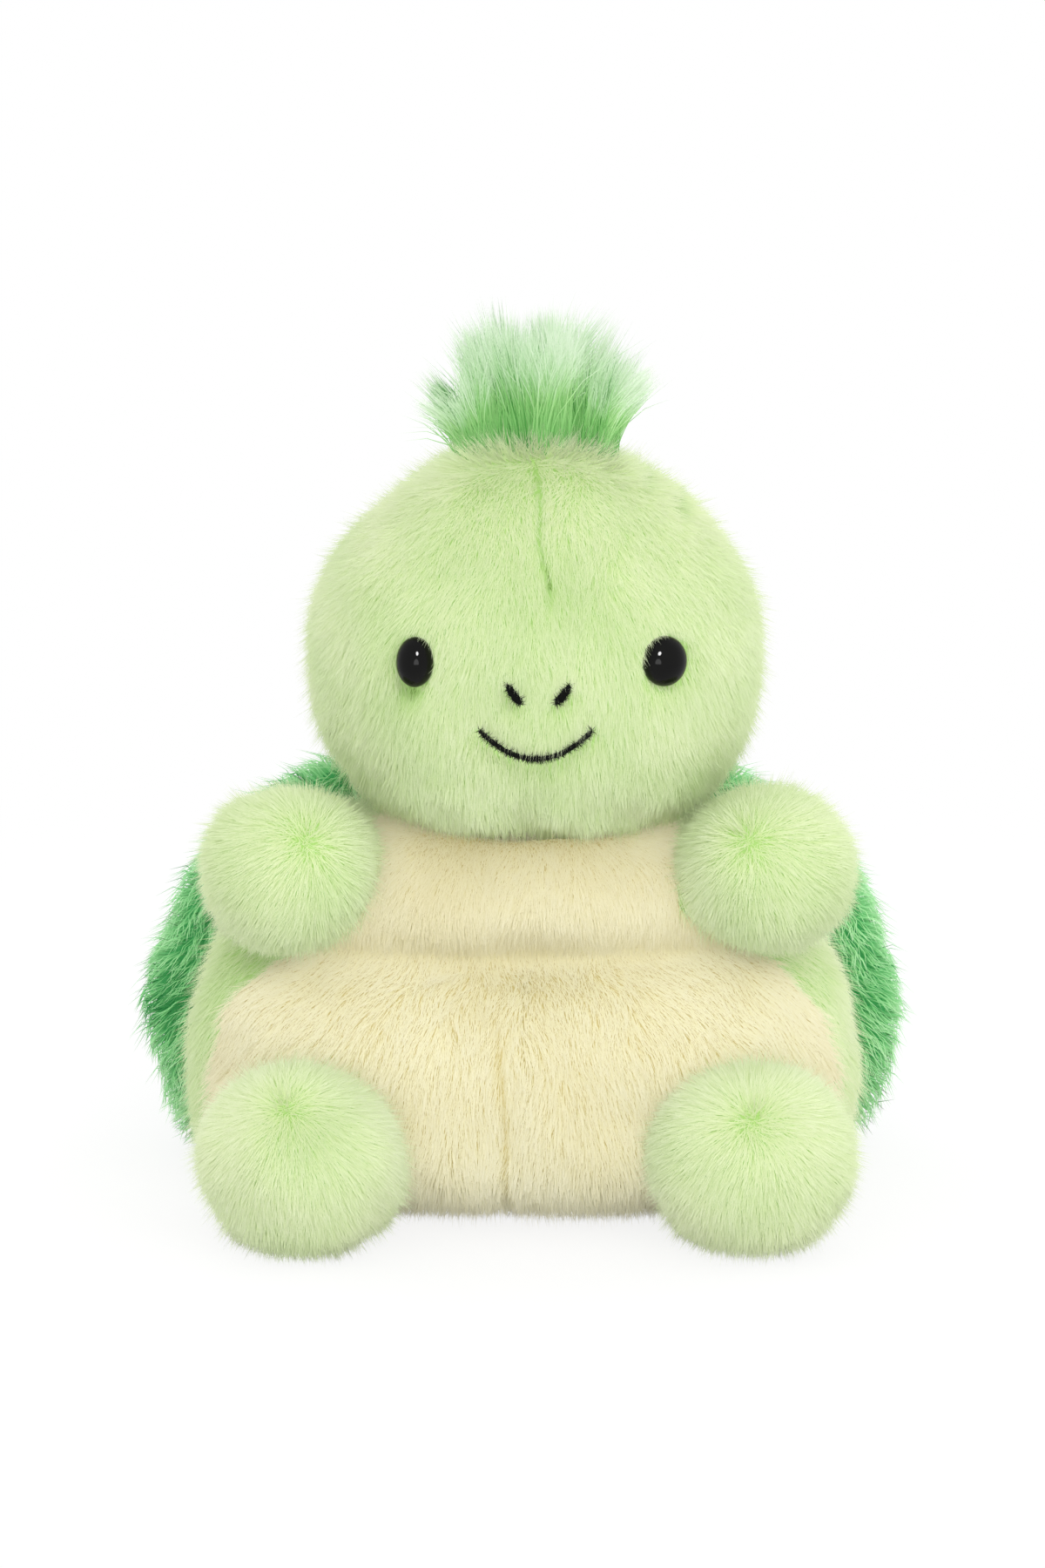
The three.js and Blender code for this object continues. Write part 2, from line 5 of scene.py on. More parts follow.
import bmesh
import bpy
import numpy as np
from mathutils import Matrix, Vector


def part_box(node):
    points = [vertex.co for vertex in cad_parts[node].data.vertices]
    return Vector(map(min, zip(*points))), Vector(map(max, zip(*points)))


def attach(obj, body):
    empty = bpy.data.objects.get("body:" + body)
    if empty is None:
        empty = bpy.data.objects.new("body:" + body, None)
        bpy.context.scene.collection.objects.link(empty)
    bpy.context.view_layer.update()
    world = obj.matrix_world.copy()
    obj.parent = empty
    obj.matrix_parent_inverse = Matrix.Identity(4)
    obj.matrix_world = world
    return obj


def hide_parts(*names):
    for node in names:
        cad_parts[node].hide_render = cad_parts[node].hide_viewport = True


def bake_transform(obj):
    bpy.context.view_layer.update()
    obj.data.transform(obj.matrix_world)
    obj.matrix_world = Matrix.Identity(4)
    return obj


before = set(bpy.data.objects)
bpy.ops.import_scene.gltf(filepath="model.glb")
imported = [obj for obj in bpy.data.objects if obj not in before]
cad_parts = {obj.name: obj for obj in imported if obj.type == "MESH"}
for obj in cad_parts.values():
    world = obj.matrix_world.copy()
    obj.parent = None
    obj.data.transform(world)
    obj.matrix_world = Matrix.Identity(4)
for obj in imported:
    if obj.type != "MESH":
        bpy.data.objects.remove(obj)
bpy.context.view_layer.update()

MM = 0.001
SEED = 41
UV_MAP = "OFBake"
SIDES = (("left", -1), ("right", 1))

# Fabric
BACKING = 0.7 * MM
CLEARANCE = 0.4 * MM
PILE_DEPTH = 1.9 * MM
FLOOR_GAP = 0.15 * MM
MAIN_TINT = 0.74
SHELL_PILE_DEPTH = 3.0 * MM
SEAT_PILE_DEPTH = 0.9 * MM
STUFFING_DEPTH = PILE_DEPTH + BACKING + CLEARANCE + 1.2 * MM

# Hairs on each skin, or on each half of it where it has a left and a right one
HAIRS = {
    "chest": 22000, "belly": 28000, "back": 13000, "head_front": 42000, "head_back": 25000, "arm": 22500,
    "leg": 29500, "shell": 13000, "tuft": 8400, "mouth_fuzz": 1500, "nostril_fuzz": 420,
}
HAIR_TAPER = 0.6
SWIRL_SIZE = 9 * MM
TINT_CLOUD_SIZE = 14 * MM
LEAN_SPREAD = 7
GATHER_POWER = 1.4
LOOSE_LONGER = 0.2
LOOSE_THINNER = 0.35
FUZZ_RADIUS = 0.045 * MM
FUZZ_LENGTHS = (0.3, 1.1)

# Hairs where the flow points off the skin: the level share of the flow from which they lean fully, the least
# share of their lean, and how many times more they stray at most
FULL_HOLD = 0.6
LEAST_HOLD = 0.25
STRAY_UNHELD = 8

# Places across the UV map: a whole body, a wall's outer face, its inner face and its rim, and a hair's width
WHOLE_MAP = (0.01, 0.99)
OUTER_MAP = (0.01, 0.48)
INNER_MAP = (0.5, 0.98)
RIM_MAP = (0.985, 0.995)
HAIR_MAP = 0.02

# Head, from its two skins
head_low = Vector(map(min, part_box("head_front")[0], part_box("head_back")[0]))
head_high = Vector(map(max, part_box("head_front")[1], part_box("head_back")[1]))
HEAD_CENTRE = np.array([(head_low.x + head_high.x) / 2, 0.0, 78.1 * MM])
HEAD_HALF = np.array([(head_high.x - head_low.x) / 2, 27.0 * MM, 28.5 * MM])
HEAD_UPPER_POWER = 1.92
HEAD_LOWER_POWER = 2.5
HEAD_PLAN_POWER = 2.2
HEAD_SEAM_SETBACK = 3.0 * MM
SEAT_TOUCH = np.array([3.0, 4.4, 1.9]) * MM
SEAT_ROOM = np.array([2.4, 4.0, 1.1]) * MM

# Tuft: its strip on the crown and its wisps, whose lean and shortness differ to the left and the right
TUFT_HALF_WIDTH = 8.9 * MM
TUFT_HALF_DEPTH = 2.4 * MM
TUFT_SHIFT = 0.3 * MM
TUFT_SETBACK = 1.0 * MM
TUFT_SINK = 0.3 * MM
TUFT_LENGTH = 22.6 * MM
TUFT_HAIR_RADIUS = 0.115 * MM
TUFT_STATIONS = 4
TUFT_WISPS = 66
TUFT_WISP_WIDTH = 0.75 * MM
TUFT_WISP_DEPTH = 0.5 * MM
TUFT_FREE_SHARE = 0.12
TUFT_LEANS = (31, 19)
TUFT_LEAN_POWER = 1.6
TUFT_SHORTER = (0.46, 0.28)
TUFT_SHORTER_POWERS = (2.2, 1.4)

# Torso, from its skins: height, half width, reach to the front and to the back
TORSO_HEIGHT = 58.5 * MM
TORSO_HALF_WIDTH = 47.4 * MM
BELLY_REACH = 31.5 * MM
BACK_REACH = 27.0 * MM
TORSO_POWER = 2.4
TORSO_SHARES = [
    (0, 0.75, 0.38, 0.66), (0.025, 0.84, 0.56, 0.78), (0.055, 0.9, 0.72, 0.86), (0.095, 0.95, 0.86, 0.92),
    (0.15, 0.985, 0.95, 0.965), (0.24, 1, 1, 1), (0.4, 0.99, 1, 1), (0.5, 0.96, 0.955, 0.99),
    (0.58, 0.915, 0.86, 0.965), (0.64, 0.875, 0.74, 0.935), (0.685, 0.84, 0.675, 0.91), (0.73, 0.8, 0.705, 0.88),
    (0.8, 0.72, 0.73, 0.81), (0.87, 0.615, 0.69, 0.7), (0.93, 0.47, 0.555, 0.54), (0.98, 0.26, 0.3, 0.3),
]
TORSO_STEPS = 6
FOLD_ROW = 10
FOLD_HEIGHT = TORSO_SHARES[FOLD_ROW][0] * TORSO_HEIGHT
FOLD_DEPTH = 0.9 * MM
FOLD_REACH = 38 * MM
CREASE_MIDDLE = (-3 * MM, 38 * MM)
CREASE_LENGTH = 22 * MM
CREASE_DEPTH = 0.3 * MM
CREASES_ROUND = 16
CREAM_SHARES = [
    (0.83, 0.0), (0.83, 0.08), (0.89, 0.22), (0.9, 0.36), (0.85, 0.5), (0.71, 0.62), (0.55, 0.69),
    (0.45, 0.76), (0.43, 0.86), (0.43, 1.0),
]

# Torso's grid: rows of its base and top discs, columns between its panels' edges, and where these lie
BASE_ROWS = 8
TOP_ROWS = 5
TORSO_COLUMNS = (40, 30, 30, 40)
FOLD = BASE_ROWS + TORSO_STEPS * FOLD_ROW
LEFT_EDGE, MIDDLE, RIGHT_EDGE, LAST = np.cumsum(TORSO_COLUMNS)
CHEST_ROWS = (FOLD, -TOP_ROWS)
FRONT, FRONT_LEFT, FRONT_RIGHT = (LEFT_EDGE, RIGHT_EDGE + 1), (LEFT_EDGE, MIDDLE + 1), (MIDDLE, RIGHT_EDGE + 1)
BACK_LEFT, BACK_RIGHT = (0, LEFT_EDGE + 1), (RIGHT_EDGE, LAST + 1)

# Levels and columns of the other grids
HEAD_GRID = (73, 121)
LIMB_GRID = (56, 65)
SHELL_GRID = (73, 161)

# Shell: rim, height and depth of the dome
SHELL_HALF_WIDTH = 53.6 * MM
SHELL_HEIGHT = 60.0 * MM
SHELL_LIFT = 0.8 * MM
SHELL_RIM_ROLL = 6.0 * MM
SHELL_RIM_Y = 13.0 * MM
SHELL_DEPTH = 31.0 * MM
SHELL_POWER = 2.15
SHELL_LINING_COLUMNS = 14
SHELL_SHARES = [
    (0, 0.8, 0.3, 0.45), (0.035, 0.895, 0.6, 0.6), (0.08, 0.94, 0.85, 0.72), (0.17, 0.975, 1, 0.87),
    (0.3, 1, 1, 0.97), (0.42, 0.998, 1, 1), (0.56, 0.943, 1, 0.97), (0.67, 0.895, 1, 0.9),
    (0.75, 0.825, 1, 0.81), (0.84, 0.745, 1, 0.69), (0.92, 0.63, 0.9, 0.52), (0.97, 0.52, 0.7, 0.38),
    (1, 0.4, 0.4, 0.28),
]

# Arms and legs: ball centre, root, half width, half height and tip of the stub on the +X side
LIMBS = {
    "arm": dict(
        centre=(32.8, -20, 50.8), root=(25, -1, 46.8), wide=12.3, tall=11.5, tip=11.6, lean=0.8, spread=0.0,
        parting={"left": (-2.5, -4, 3), "right": (-2.5, -4, 3)}, tint=0.74,
    ),
    "leg": dict(
        centre=(30.6, -30, 13.2), root=(22, -8, 12.4), wide=14.6, tall=12.9, tip=14.1, lean=0.6, spread=0.7,
        parting={"left": (1.5, -3.5, 5), "right": (0, -5, 4)}, tint=0.92,
    ),
}
LIMB_SHARES = [
    (-1, 0.55), (-1, 0.62), (-0.7, 0.72), (-0.4, 0.88), (-0.15, 0.98), (0, 1), (0.25, 0.97), (0.5, 0.865),
    (0.72, 0.69), (0.88, 0.47), (0.97, 0.22), (1, 0.0),
]

# Face
EYE_SPACING = 34.8 * MM
EYE_SHIFT = 0.55 * MM
LEFT_EYE_SHARE = 0.81
EYE_RISE = 2.0 * MM
EYE_HALF_WIDTH = 3.2 * MM
EYE_HALF_HEIGHT = 3.42 * MM
EYE_SEEN_SHARE = 0.92
EYE_SEEN_SHIFT = 0.7 * MM
EYE_SINK = 1.5 * MM
EYE_DOME = 2.3 * MM
EYE_RIM = 0.7 * MM
EYE_SHANK_RADIUS = 0.9 * MM
EYE_SHANK_LENGTH = 6.0 * MM
THREAD_RADIUS = 0.3 * MM
MOUTH_HALF_WIDTH = 7.6 * MM
MOUTH_DROP = 6.6 * MM
MOUTH_SAG = 4.0 * MM
NOSTRIL_SPACING = 6.6 * MM
NOSTRIL_DROP = 1.65 * MM
NOSTRIL_SHIFT = 0.35 * MM
NOSTRIL_HALF_LENGTH = 1.65 * MM
NOSTRIL_HALF_WIDTH = 0.3 * MM
NOSTRIL_TURN = math.pi * 0.2
NOSTRIL_STITCHES = 5
STITCH_RADIUS = 0.2 * MM
STITCH_SINK = 0.35 * MM
STITCH_LAY = 0.9 * MM
MOUTH_SINK = 0.15 * MM
MOUTH_LAY = 1.3 * MM
PUCKERS = [((15.2, 101.2), (15.8, 99.9)), ((19.8, 98.3), (20.9, 96.6))]
PUCKER_WIDTH = 0.36 * MM

# Insides: height and width shares of the pouch and the plug in the neck, and the pellets
POUCH_SHARES = [
    (0, 0.5), (0.07, 0.74), (0.16, 0.89), (0.38, 1), (0.62, 0.94), (0.85, 0.72), (0.97, 0.4),
]
POUCH_POWER = 2.3
POUCH_CLOTH = 0.6 * MM
NECK_SHARES = [
    (0, 0.7), (0.02, 0.95), (0.06, 1), (0.12, 0.98), (0.19, 0.72), (0.28, 0.68), (0.42, 0.68), (0.5, 0.72),
    (0.6, 0.86), (0.72, 0.94), (0.82, 0.9), (0.92, 0.68), (0.98, 0.36),
]
PELLETS = 320
PELLET_RADIUS = 1.25 * MM

# Camera, floor, surround, card of light, and lamps: name, place, size, power, and whether glossy things show it
CAMERA_DISTANCE = 1.0
CAMERA_ELEVATION = 15.0
CAMERA_AIM = 57.1 * MM
CAMERA_LENS = 166.7
SENSOR_WIDTH = 36.0
FLOOR_HALF = 6.0
SHADE_EDGES = (0.06, 0.22)
SHADE_CLEAR = 0.82
WHITE = (1.0, 1.0, 1.0, 1.0)
SKY = 0.95
AIM_POINT = (0, 0, 0.06)
CARD_PLACE = (0.05, -0.86, 0.62)
CARD_RADIUS = 0.125
CARD_STRENGTH = 75.0
LAMPS = [
    ("key", (0.06, -0.7, 0.85), 0.3, 1.6, False),
    ("front", (-0.04, -1.05, 0.08), 0.5, 2.4, True),
    ("side", (0.5, -0.7, 0.75), 0.6, 2.6, False),
    ("left", (-0.6, -0.8, 0.3), 0.6, 0.6, False),
    ("back_left", (-0.85, 0.5, 0.45), 0.6, 2.0, False),
    ("back_right", (0.85, 0.5, 0.45), 0.6, 2.0, False),
]


def signed_power(value, power):
    """The size of a value raised to a power, with the value's sign."""
    return np.sign(value) * np.abs(value) ** power


def unit(vectors):
    """Vectors of length one in the same directions."""
    return vectors / np.maximum(np.linalg.norm(vectors, axis=-1, keepdims=True), 1e-12)


def between(table, at):
    """Rows of a table at fractional places: a smooth cubic through each row and its two neighbours' slopes."""
    table = np.asarray(table, float)
    at = np.clip(at, 0, len(table) - 1)
    first = np.minimum(at.astype(int), len(table) - 2)
    t = (at - first)[:, None]
    padded = np.vstack([2 * table[0] - table[1], table, 2 * table[-1] - table[-2]])
    a, b, c, d = (padded[first + i] for i in range(4))
    return b + 0.5 * t * (c - a + t * (2 * a - 5 * b + 4 * c - d + t * (3 * (b - c) + d - a)))


def ripple(points, wavelength, seed, waves=7):
    """Soft unevenness from about -1 to 1: the sum of sine waves that run in seeded directions."""
    rng = np.random.default_rng([SEED, seed])
    ways = unit(rng.normal(size=(waves, 3))) * rng.uniform(0.7, 1.4, (waves, 1)) * 2 * math.pi / wavelength
    phases = rng.uniform(0, 2 * math.pi, waves)
    return np.sin(points @ ways.T + phases).sum(axis=-1) * math.sqrt(2 / waves) * 0.6


def bump(distance, width):
    """A smooth bell: 1 at no distance, and nearly 0 past twice the width."""
    return np.exp(-((distance / width) ** 2))


def ring_grid(rows, power, angle):
    """Level rings as a grid. A row gives x, y, z of the middle, half width, reach forwards and reach back.
    Across, a point lies half width times the signed power of its angle's cosine; along, reach times that of
    its sine."""
    across = signed_power(np.cos(angle), 2 / power)
    along = signed_power(np.sin(angle), 2 / power)
    reach = np.where(along < 0, rows[:, 4:5], rows[:, 5:6])
    x = rows[:, 0:1] + rows[:, 3:4] * across
    y = rows[:, 1:2] + reach * along
    return np.stack([x, y, rows[:, 2:3] + 0 * x], axis=2)


def capped(rows, low_steps, high_steps):
    """Rings drawn in to a point at each end, so that the surface closes with a disc at its foot and top."""
    low = rows[0] * np.ones((low_steps, 1))
    high = rows[-1] * np.ones((high_steps, 1))
    low[:, 3:] *= np.linspace(0, 1, low_steps, endpoint=False)[:, None]
    high[:, 3:] *= np.linspace(0, 1, high_steps, endpoint=False)[::-1, None]
    return np.vstack([low, rows, high])


def normals_of(points):
    """Outward normals of a grid whose first and last columns meet: the sum of the normals of the cells
    around."""
    one = points[1:, 1:] - points[:-1, :-1]
    other = points[1:, :-1] - points[:-1, 1:]
    face = np.cross(one, other)
    total = np.zeros_like(points)
    for row in (slice(0, -1), slice(1, None)):
        for column in (slice(0, -1), slice(1, None)):
            total[row, column] += face
    seam = total[:, 0] + total[:, -1]
    total[:, 0] = seam
    total[:, -1] = seam
    poles = np.ptp(points, axis=1).max(axis=1) < 1e-7
    total[poles] = total[poles].sum(axis=1, keepdims=True)
    return unit(total)


def head_gauge(points, half):
    """1 on the head's surface of the given half sizes, less inside: plan and upright powers of the scaled
    place."""
    scaled = np.abs((points - HEAD_CENTRE) / half)
    power = np.where(points[..., 2] > HEAD_CENTRE[2], HEAD_UPPER_POWER, HEAD_LOWER_POWER)
    plan = (scaled[..., 0] ** HEAD_PLAN_POWER + scaled[..., 1] ** HEAD_PLAN_POWER) ** (1 / HEAD_PLAN_POWER)
    return (plan ** power + scaled[..., 2] ** power) ** (1 / power)


def clear_of_head(points, room):
    """Points inside the head's seat, moved straight out from the head's centre to the seat's surface."""
    gauge = np.maximum(head_gauge(points, HEAD_HALF + SEAT_ROOM + room), 1e-3)[..., None]
    return np.where(gauge < 1, HEAD_CENTRE + (points - HEAD_CENTRE) / gauge, points)


def torso_sizes(height, inset):
    """Half width, reach to the front and reach to the back of the torso at a height."""
    share = np.clip((height - SEAT_PILE_DEPTH) / (TORSO_HEIGHT - SEAT_PILE_DEPTH - PILE_DEPTH), 0, 1)
    table = np.array(TORSO_SHARES)
    sizes = [np.interp(share, table[:, 0], table[:, i]) for i in (1, 2, 3)]
    full = (TORSO_HALF_WIDTH, BELLY_REACH, BACK_REACH)
    return [size * (whole - inset) for size, whole in zip(sizes, full)]


def torso_gauge(points, inset):
    """1 on the torso's surface, less inside: the plan power of the place over the sizes at its height."""
    wide, front, back = torso_sizes(points[..., 2], inset)
    reach = np.where(points[..., 1] < 0, front, back)
    plan = np.abs(points[..., 0] / wide) ** TORSO_POWER + np.abs(points[..., 1] / reach) ** TORSO_POWER
    return plan ** (1 / TORSO_POWER)


def clear_of_torso(points, inset):
    """Points inside the torso, moved level and straight out from its axis to its surface, and which ones they
    are."""
    gauge = np.maximum(torso_gauge(points, inset), 1e-2)
    inside = (gauge < 1) & (points[..., 2] < TORSO_HEIGHT)
    moved = points.copy()
    moved[..., :2] /= np.where(inside, gauge, 1)[..., None]
    return moved, inside


def linked(name, data):
    """A new object of the scene, at the origin."""
    made = bpy.data.objects.new(name, data)
    bpy.context.scene.collection.objects.link(made)
    return made


def mesh_of(name, vertices, faces, uv, soft=None):
    """A smooth mesh object from vertices, equal-sided faces, UV places of the corners and normals of the
    vertices."""
    faces = np.asarray(faces, np.int32)
    mesh = bpy.data.meshes.new(name)
    mesh.vertices.add(len(vertices))
    mesh.vertices.foreach_set("co", np.asarray(vertices, np.float32).ravel())
    mesh.loops.add(faces.size)
    mesh.loops.foreach_set("vertex_index", faces.ravel())
    mesh.polygons.add(len(faces))
    mesh.polygons.foreach_set("loop_start", np.arange(0, faces.size, faces.shape[1], dtype=np.int32))
    mesh.uv_layers.new(name=UV_MAP).uv.foreach_set("vector", np.asarray(uv, np.float32).ravel())
    mesh.update(calc_edges=True)
    mesh.shade_smooth()
    if soft is not None:
        mesh.normals_split_custom_set_from_vertices(soft)
    return linked(name, mesh)


def grid_faces(rows, columns, first=0):
    """Corner numbers of the cells of a grid, facing out where columns run round and rows run up."""
    corner = first + np.arange(rows - 1)[:, None] * columns + np.arange(columns - 1)
    return np.stack([corner, corner + 1, corner + columns + 1, corner + columns], axis=2).reshape(-1, 4)


def grid_uv(rows, columns, left, right):
    """UV places of the corners of a grid's cells, laid out evenly between two sides of the map."""
    u = np.linspace(left, right, columns)
    v = np.linspace(*WHOLE_MAP, rows)
    places = np.stack([np.tile(u, (rows, 1)), np.tile(v[:, None], (1, columns))], axis=2).reshape(-1, 2)
    return places[grid_faces(rows, columns)]


def walled(name, outer, inner):
    """A closed wall between an outer and an inner grid, joined by a strip along each of its four edges. Thin
    cloth lets light through, as its fur does, so it casts no shadow; the stuffing behind it casts one."""
    rows, columns = outer.shape[:2]
    count = rows * columns
    number = np.arange(count).reshape(rows, columns)
    edge = np.concatenate([number[0, :-1], number[:-1, -1], number[-1, :0:-1], number[:0:-1, 0]])
    after = np.roll(edge, -1)
    rim = np.stack([edge, edge + count, after + count, after], axis=1)
    faces = np.vstack([grid_faces(rows, columns), grid_faces(rows, columns, count)[:, ::-1], rim])
    steps = np.arange(len(edge) + 1) / len(edge)
    near, far = (np.full(len(edge), side) for side in RIM_MAP)
    strip = np.stack([[near, far, far, near], [steps[:-1], steps[:-1], steps[1:], steps[1:]]]).T
    uv = np.vstack([grid_uv(rows, columns, *OUTER_MAP), grid_uv(rows, columns, *INNER_MAP)[:, ::-1], strip])
    piece = mesh_of(name, np.vstack([outer.reshape(-1, 3), inner.reshape(-1, 3)]), faces, uv)
    piece.visible_shadow = False
    return piece


def closed(name, points):
    """A closed body from a grid whose columns run all the way round and whose end rows are points."""
    rows, columns = points.shape[:2]
    uv = grid_uv(rows, columns, *WHOLE_MAP)
    return merged(mesh_of(name, points.reshape(-1, 3), grid_faces(rows, columns), uv))


def merged(piece):
    """A piece with its doubled vertices welded, which closes the seam and the poles, and without faces that
    have no area."""
    work = bmesh.new()
    work.from_mesh(piece.data)
    bmesh.ops.remove_doubles(work, verts=work.verts, dist=1e-7)
    bmesh.ops.dissolve_degenerate(work, edges=work.edges, dist=1e-8)
    work.to_mesh(piece.data)
    work.free()
    return piece


class Wire:
    """A shader socket as a value: arithmetic on it adds Math nodes to its tree."""

    def __init__(self, nodes, socket):
        self.nodes = nodes
        self.socket = socket

    def math(self, operation, *values):
        """A Math node's result."""
        return self.nodes.node("ShaderNodeMath", {"operation": operation}, *values)

    def __add__(self, other):
        return self.math("ADD", self, other)

    def __mul__(self, other):
        return self.math("MULTIPLY", self, other)

    __radd__ = __add__
    __rmul__ = __mul__


class Nodes:
    """The nodes of a material or of the surround."""

    def __init__(self, tree):
        self.tree = tree

    def put(self, socket, value):
        """Gives a socket a link or a fixed value."""
        if isinstance(value, Wire):
            self.tree.links.new(value.socket, socket)
        else:
            socket.default_value = value

    def node(self, kind, settings, *values, out=0, **named):
        """A node of a type, with its settings, then values or links by socket order or name, where None
        leaves a socket as it is; its output as a Wire."""
        made = self.tree.nodes.new(kind)
        for key, value in settings.items():
            if key == "stops":
                self.set_stops(made.color_ramp, value)
            else:
                setattr(made, key, value)
        for key, value in [*enumerate(values), *named.items()]:
            if value is not None:
                self.put(made.inputs[key if isinstance(key, int) else key.replace("_", " ")], value)
        return Wire(self, made.outputs[out])

    def set_stops(self, ramp, stops):
        """Gives a colour ramp its stops, each a place and a colour."""
        while len(ramp.elements) < len(stops):
            ramp.elements.new(0.5)
        for element, (place, colour) in zip(ramp.elements, stops):
            element.position = place
            element.color = colour

    def outputs(self, wire, *names):
        """Named outputs of the node that a Wire comes from."""
        return [Wire(self, wire.socket.node.outputs[name]) for name in names]

    def blend(self, factor, one, other):
        """A colour between two colours."""
        return self.node("ShaderNodeMix", {"data_type": "RGBA"}, factor, *[None] * 5, one, other, out=2)

    def any_ray(self, *names):
        """1 for rays of the named kinds, and 0 for all others."""
        most, *rays = self.outputs(self.node("ShaderNodeLightPath", {}), *names)
        for ray in rays:
            most = most.math("MAXIMUM", most, ray)
        return most


class Finish(Nodes):
    """One material: a surface shader with fixed values, and the nodes that vary its colour and relief."""

    def __init__(self, name, **fixed):
        self.material = bpy.data.materials.new(name)
        self.material.use_nodes = True
        super().__init__(self.material.node_tree)
        self.shader = self.tree.nodes["Principled BSDF"]
        for socket, value in fixed.items():
            self.wear(socket.replace("_", " "), value)

    def wear(self, socket, value):
        """Gives a socket of the surface shader a link or a fixed value."""
        self.put(self.shader.inputs[socket], value)

    def show(self, wire):
        """Makes a shader the material's surface."""
        self.put(self.tree.nodes["Material Output"].inputs["Surface"], wire)


def paint(code):
    """A colour from its six-digit code, in linear light."""
    parts = [int(code[i:i + 2], 16) / 255 for i in (0, 2, 4)]
    return (*(part / 12.92 if part <= 0.04045 else ((part + 0.055) / 1.055) ** 2.4 for part in parts), 1.0)


def pile_finish(name, deep, dark, light, turn=0.4):
    """Fur: across its map a strand's own tint, and up the map from its root to its tip. The dark and the light
    shade have a colour each for the root, the middle and the tip; the darker root is painted shade deep in the
    pile and the paler tip painted light on the bright fringe. Tints near 0 turn to one deep colour, the painted
    shade of creases and seams."""
    made = Finish(name, Roughness=1.0, Specular_IOR_Level=0.0)
    place = made.node("ShaderNodeUVMap", {"uv_map": UV_MAP})
    tint, along = made.outputs(made.node("ShaderNodeSeparateXYZ", {}, place), "X", "Y")
    shades = [made.node("ShaderNodeValToRGB", {"stops": [*zip((0.0, turn, 1.0), map(paint, shade))]}, along)
              for shade in (dark, light)]
    # Tints near 0 give the deep colour, painted shade; up the map the root is painted shade and the tip painted
    # light
    made.wear("Base Color", made.blend(tint * 8.0, paint(deep), made.blend(tint, *shades)))
    return made.material


def backing_finish(name, colour, dark, scale=900.0):
    """Knitted backing cloth: fine loops in two shades with a little relief."""
    made = Finish(name, Roughness=0.9, Specular_IOR_Level=0.15)
    place = made.node("ShaderNodeTexCoord", {}, out=3)
    loops = made.node("ShaderNodeTexNoise", {}, Vector=place, Scale=scale, Detail=3.0)
    cloud = made.node("ShaderNodeTexNoise", {}, Vector=place, Scale=scale / 8, Detail=2.0)
    made.wear("Base Color", made.blend(loops * 0.6 + cloud * 0.4, paint(dark), paint(colour)))
    made.wear("Normal", made.node("ShaderNodeBump", {}, Strength=0.4, Distance=0.0002, Height=loops))
    return made.material


def clouded_finish(name, dark, light, scale, detail, **fixed):
    """Plastic or thread whose colour drifts between two near shades in soft clouds."""
    made = Finish(name, **fixed)
    place = made.node("ShaderNodeTexCoord", {}, out=3)
    cloud = made.node("ShaderNodeTexNoise", {}, Vector=place, Scale=scale, Detail=detail)
    made.wear("Base Color", made.blend(cloud, paint(dark), paint(light)))
    return made.material


def carry(piece, body, material, nodes=()):
    """Puts a piece on its body, with its finish, and hides the nodes that it stands for. A body is one name, or
    two names with two points, for which the piece is only fixed where it is."""
    piece.data.materials.append(material)
    if isinstance(body, str):
        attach(piece, body)
    else:
        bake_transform(piece)
    if nodes:
        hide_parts(*nodes)
    return piece


@dataclass
class Pile:
    """How one kind of fur grows. Lengths are metres; leans are degrees off the skin's normal."""

    length: float
    radius: float
    root_lean: float = 60
    tip_lean: float = 60
    stations: int = 2
    lock: float = 1.6 * MM
    gather: float = 0.2
    stray: float = 9
    swirl: float = 12
    wave: float = 0.0
    uneven: float = 0.22
    facing: float = 0.66
    loose: float = 0.12
    loose_rise: float = 24


PLUSH = Pile(length=3.4 * MM, radius=0.075 * MM, root_lean=63)
SHELL_FUR = Pile(length=4.4 * MM, radius=0.132 * MM, root_lean=28, tip_lean=76, stations=3, lock=2.4 * MM,
                 gather=0.6, stray=14, swirl=30, wave=0.4 * MM, uneven=0.25, facing=0.5)


def scatter(points, normals, count, rng, keep=None):
    """Places and normals spread evenly by area over a grid: each takes a cell by its share of the whole area,
    and a random spot in that cell."""
    one = points[1:, 1:] - points[:-1, :-1]
    other = points[1:, :-1] - points[:-1, 1:]
    area = np.linalg.norm(np.cross(one, other), axis=2)
    if keep is not None:
        area = area * keep(0.25 * (points[1:, 1:] + points[:-1, :-1] + points[1:, :-1] + points[:-1, 1:]))
    total = np.cumsum(area.ravel())
    spot = (np.arange(count) + rng.random(count)) / count * total[-1]
    cell = np.minimum(np.searchsorted(total, spot), total.size - 1)
    row, column = np.divmod(cell, area.shape[1])
    a, b = rng.random((2, count, 1))

    def inside(grid):
        low = grid[row, column] * (1 - a) + grid[row, column + 1] * a
        high = grid[row + 1, column] * (1 - a) + grid[row + 1, column + 1] * a
        return low * (1 - b) + high * b

    return inside(points), unit(inside(normals))


def cell_random(cells, salt):
    """Three even random numbers for each whole-number cell, from its own three numbers times large primes,
    mixed with the salt and stirred by three linear steps."""
    x, y, z = np.moveaxis(cells, -1, 0)
    mixed = (x * 73856093) ^ (y * 19349663) ^ (z * 83492791) ^ (salt * 2654435761)
    parts = []
    for turn in (1103515245, 22695477, 1664525):
        mixed = (mixed * turn + 12345) & 0x7FFFFFFF
        mixed = mixed ^ (mixed >> 13)
        parts.append((mixed & 0xFFFFF) / 0x100000)
    return np.stack(parts, axis=-1)


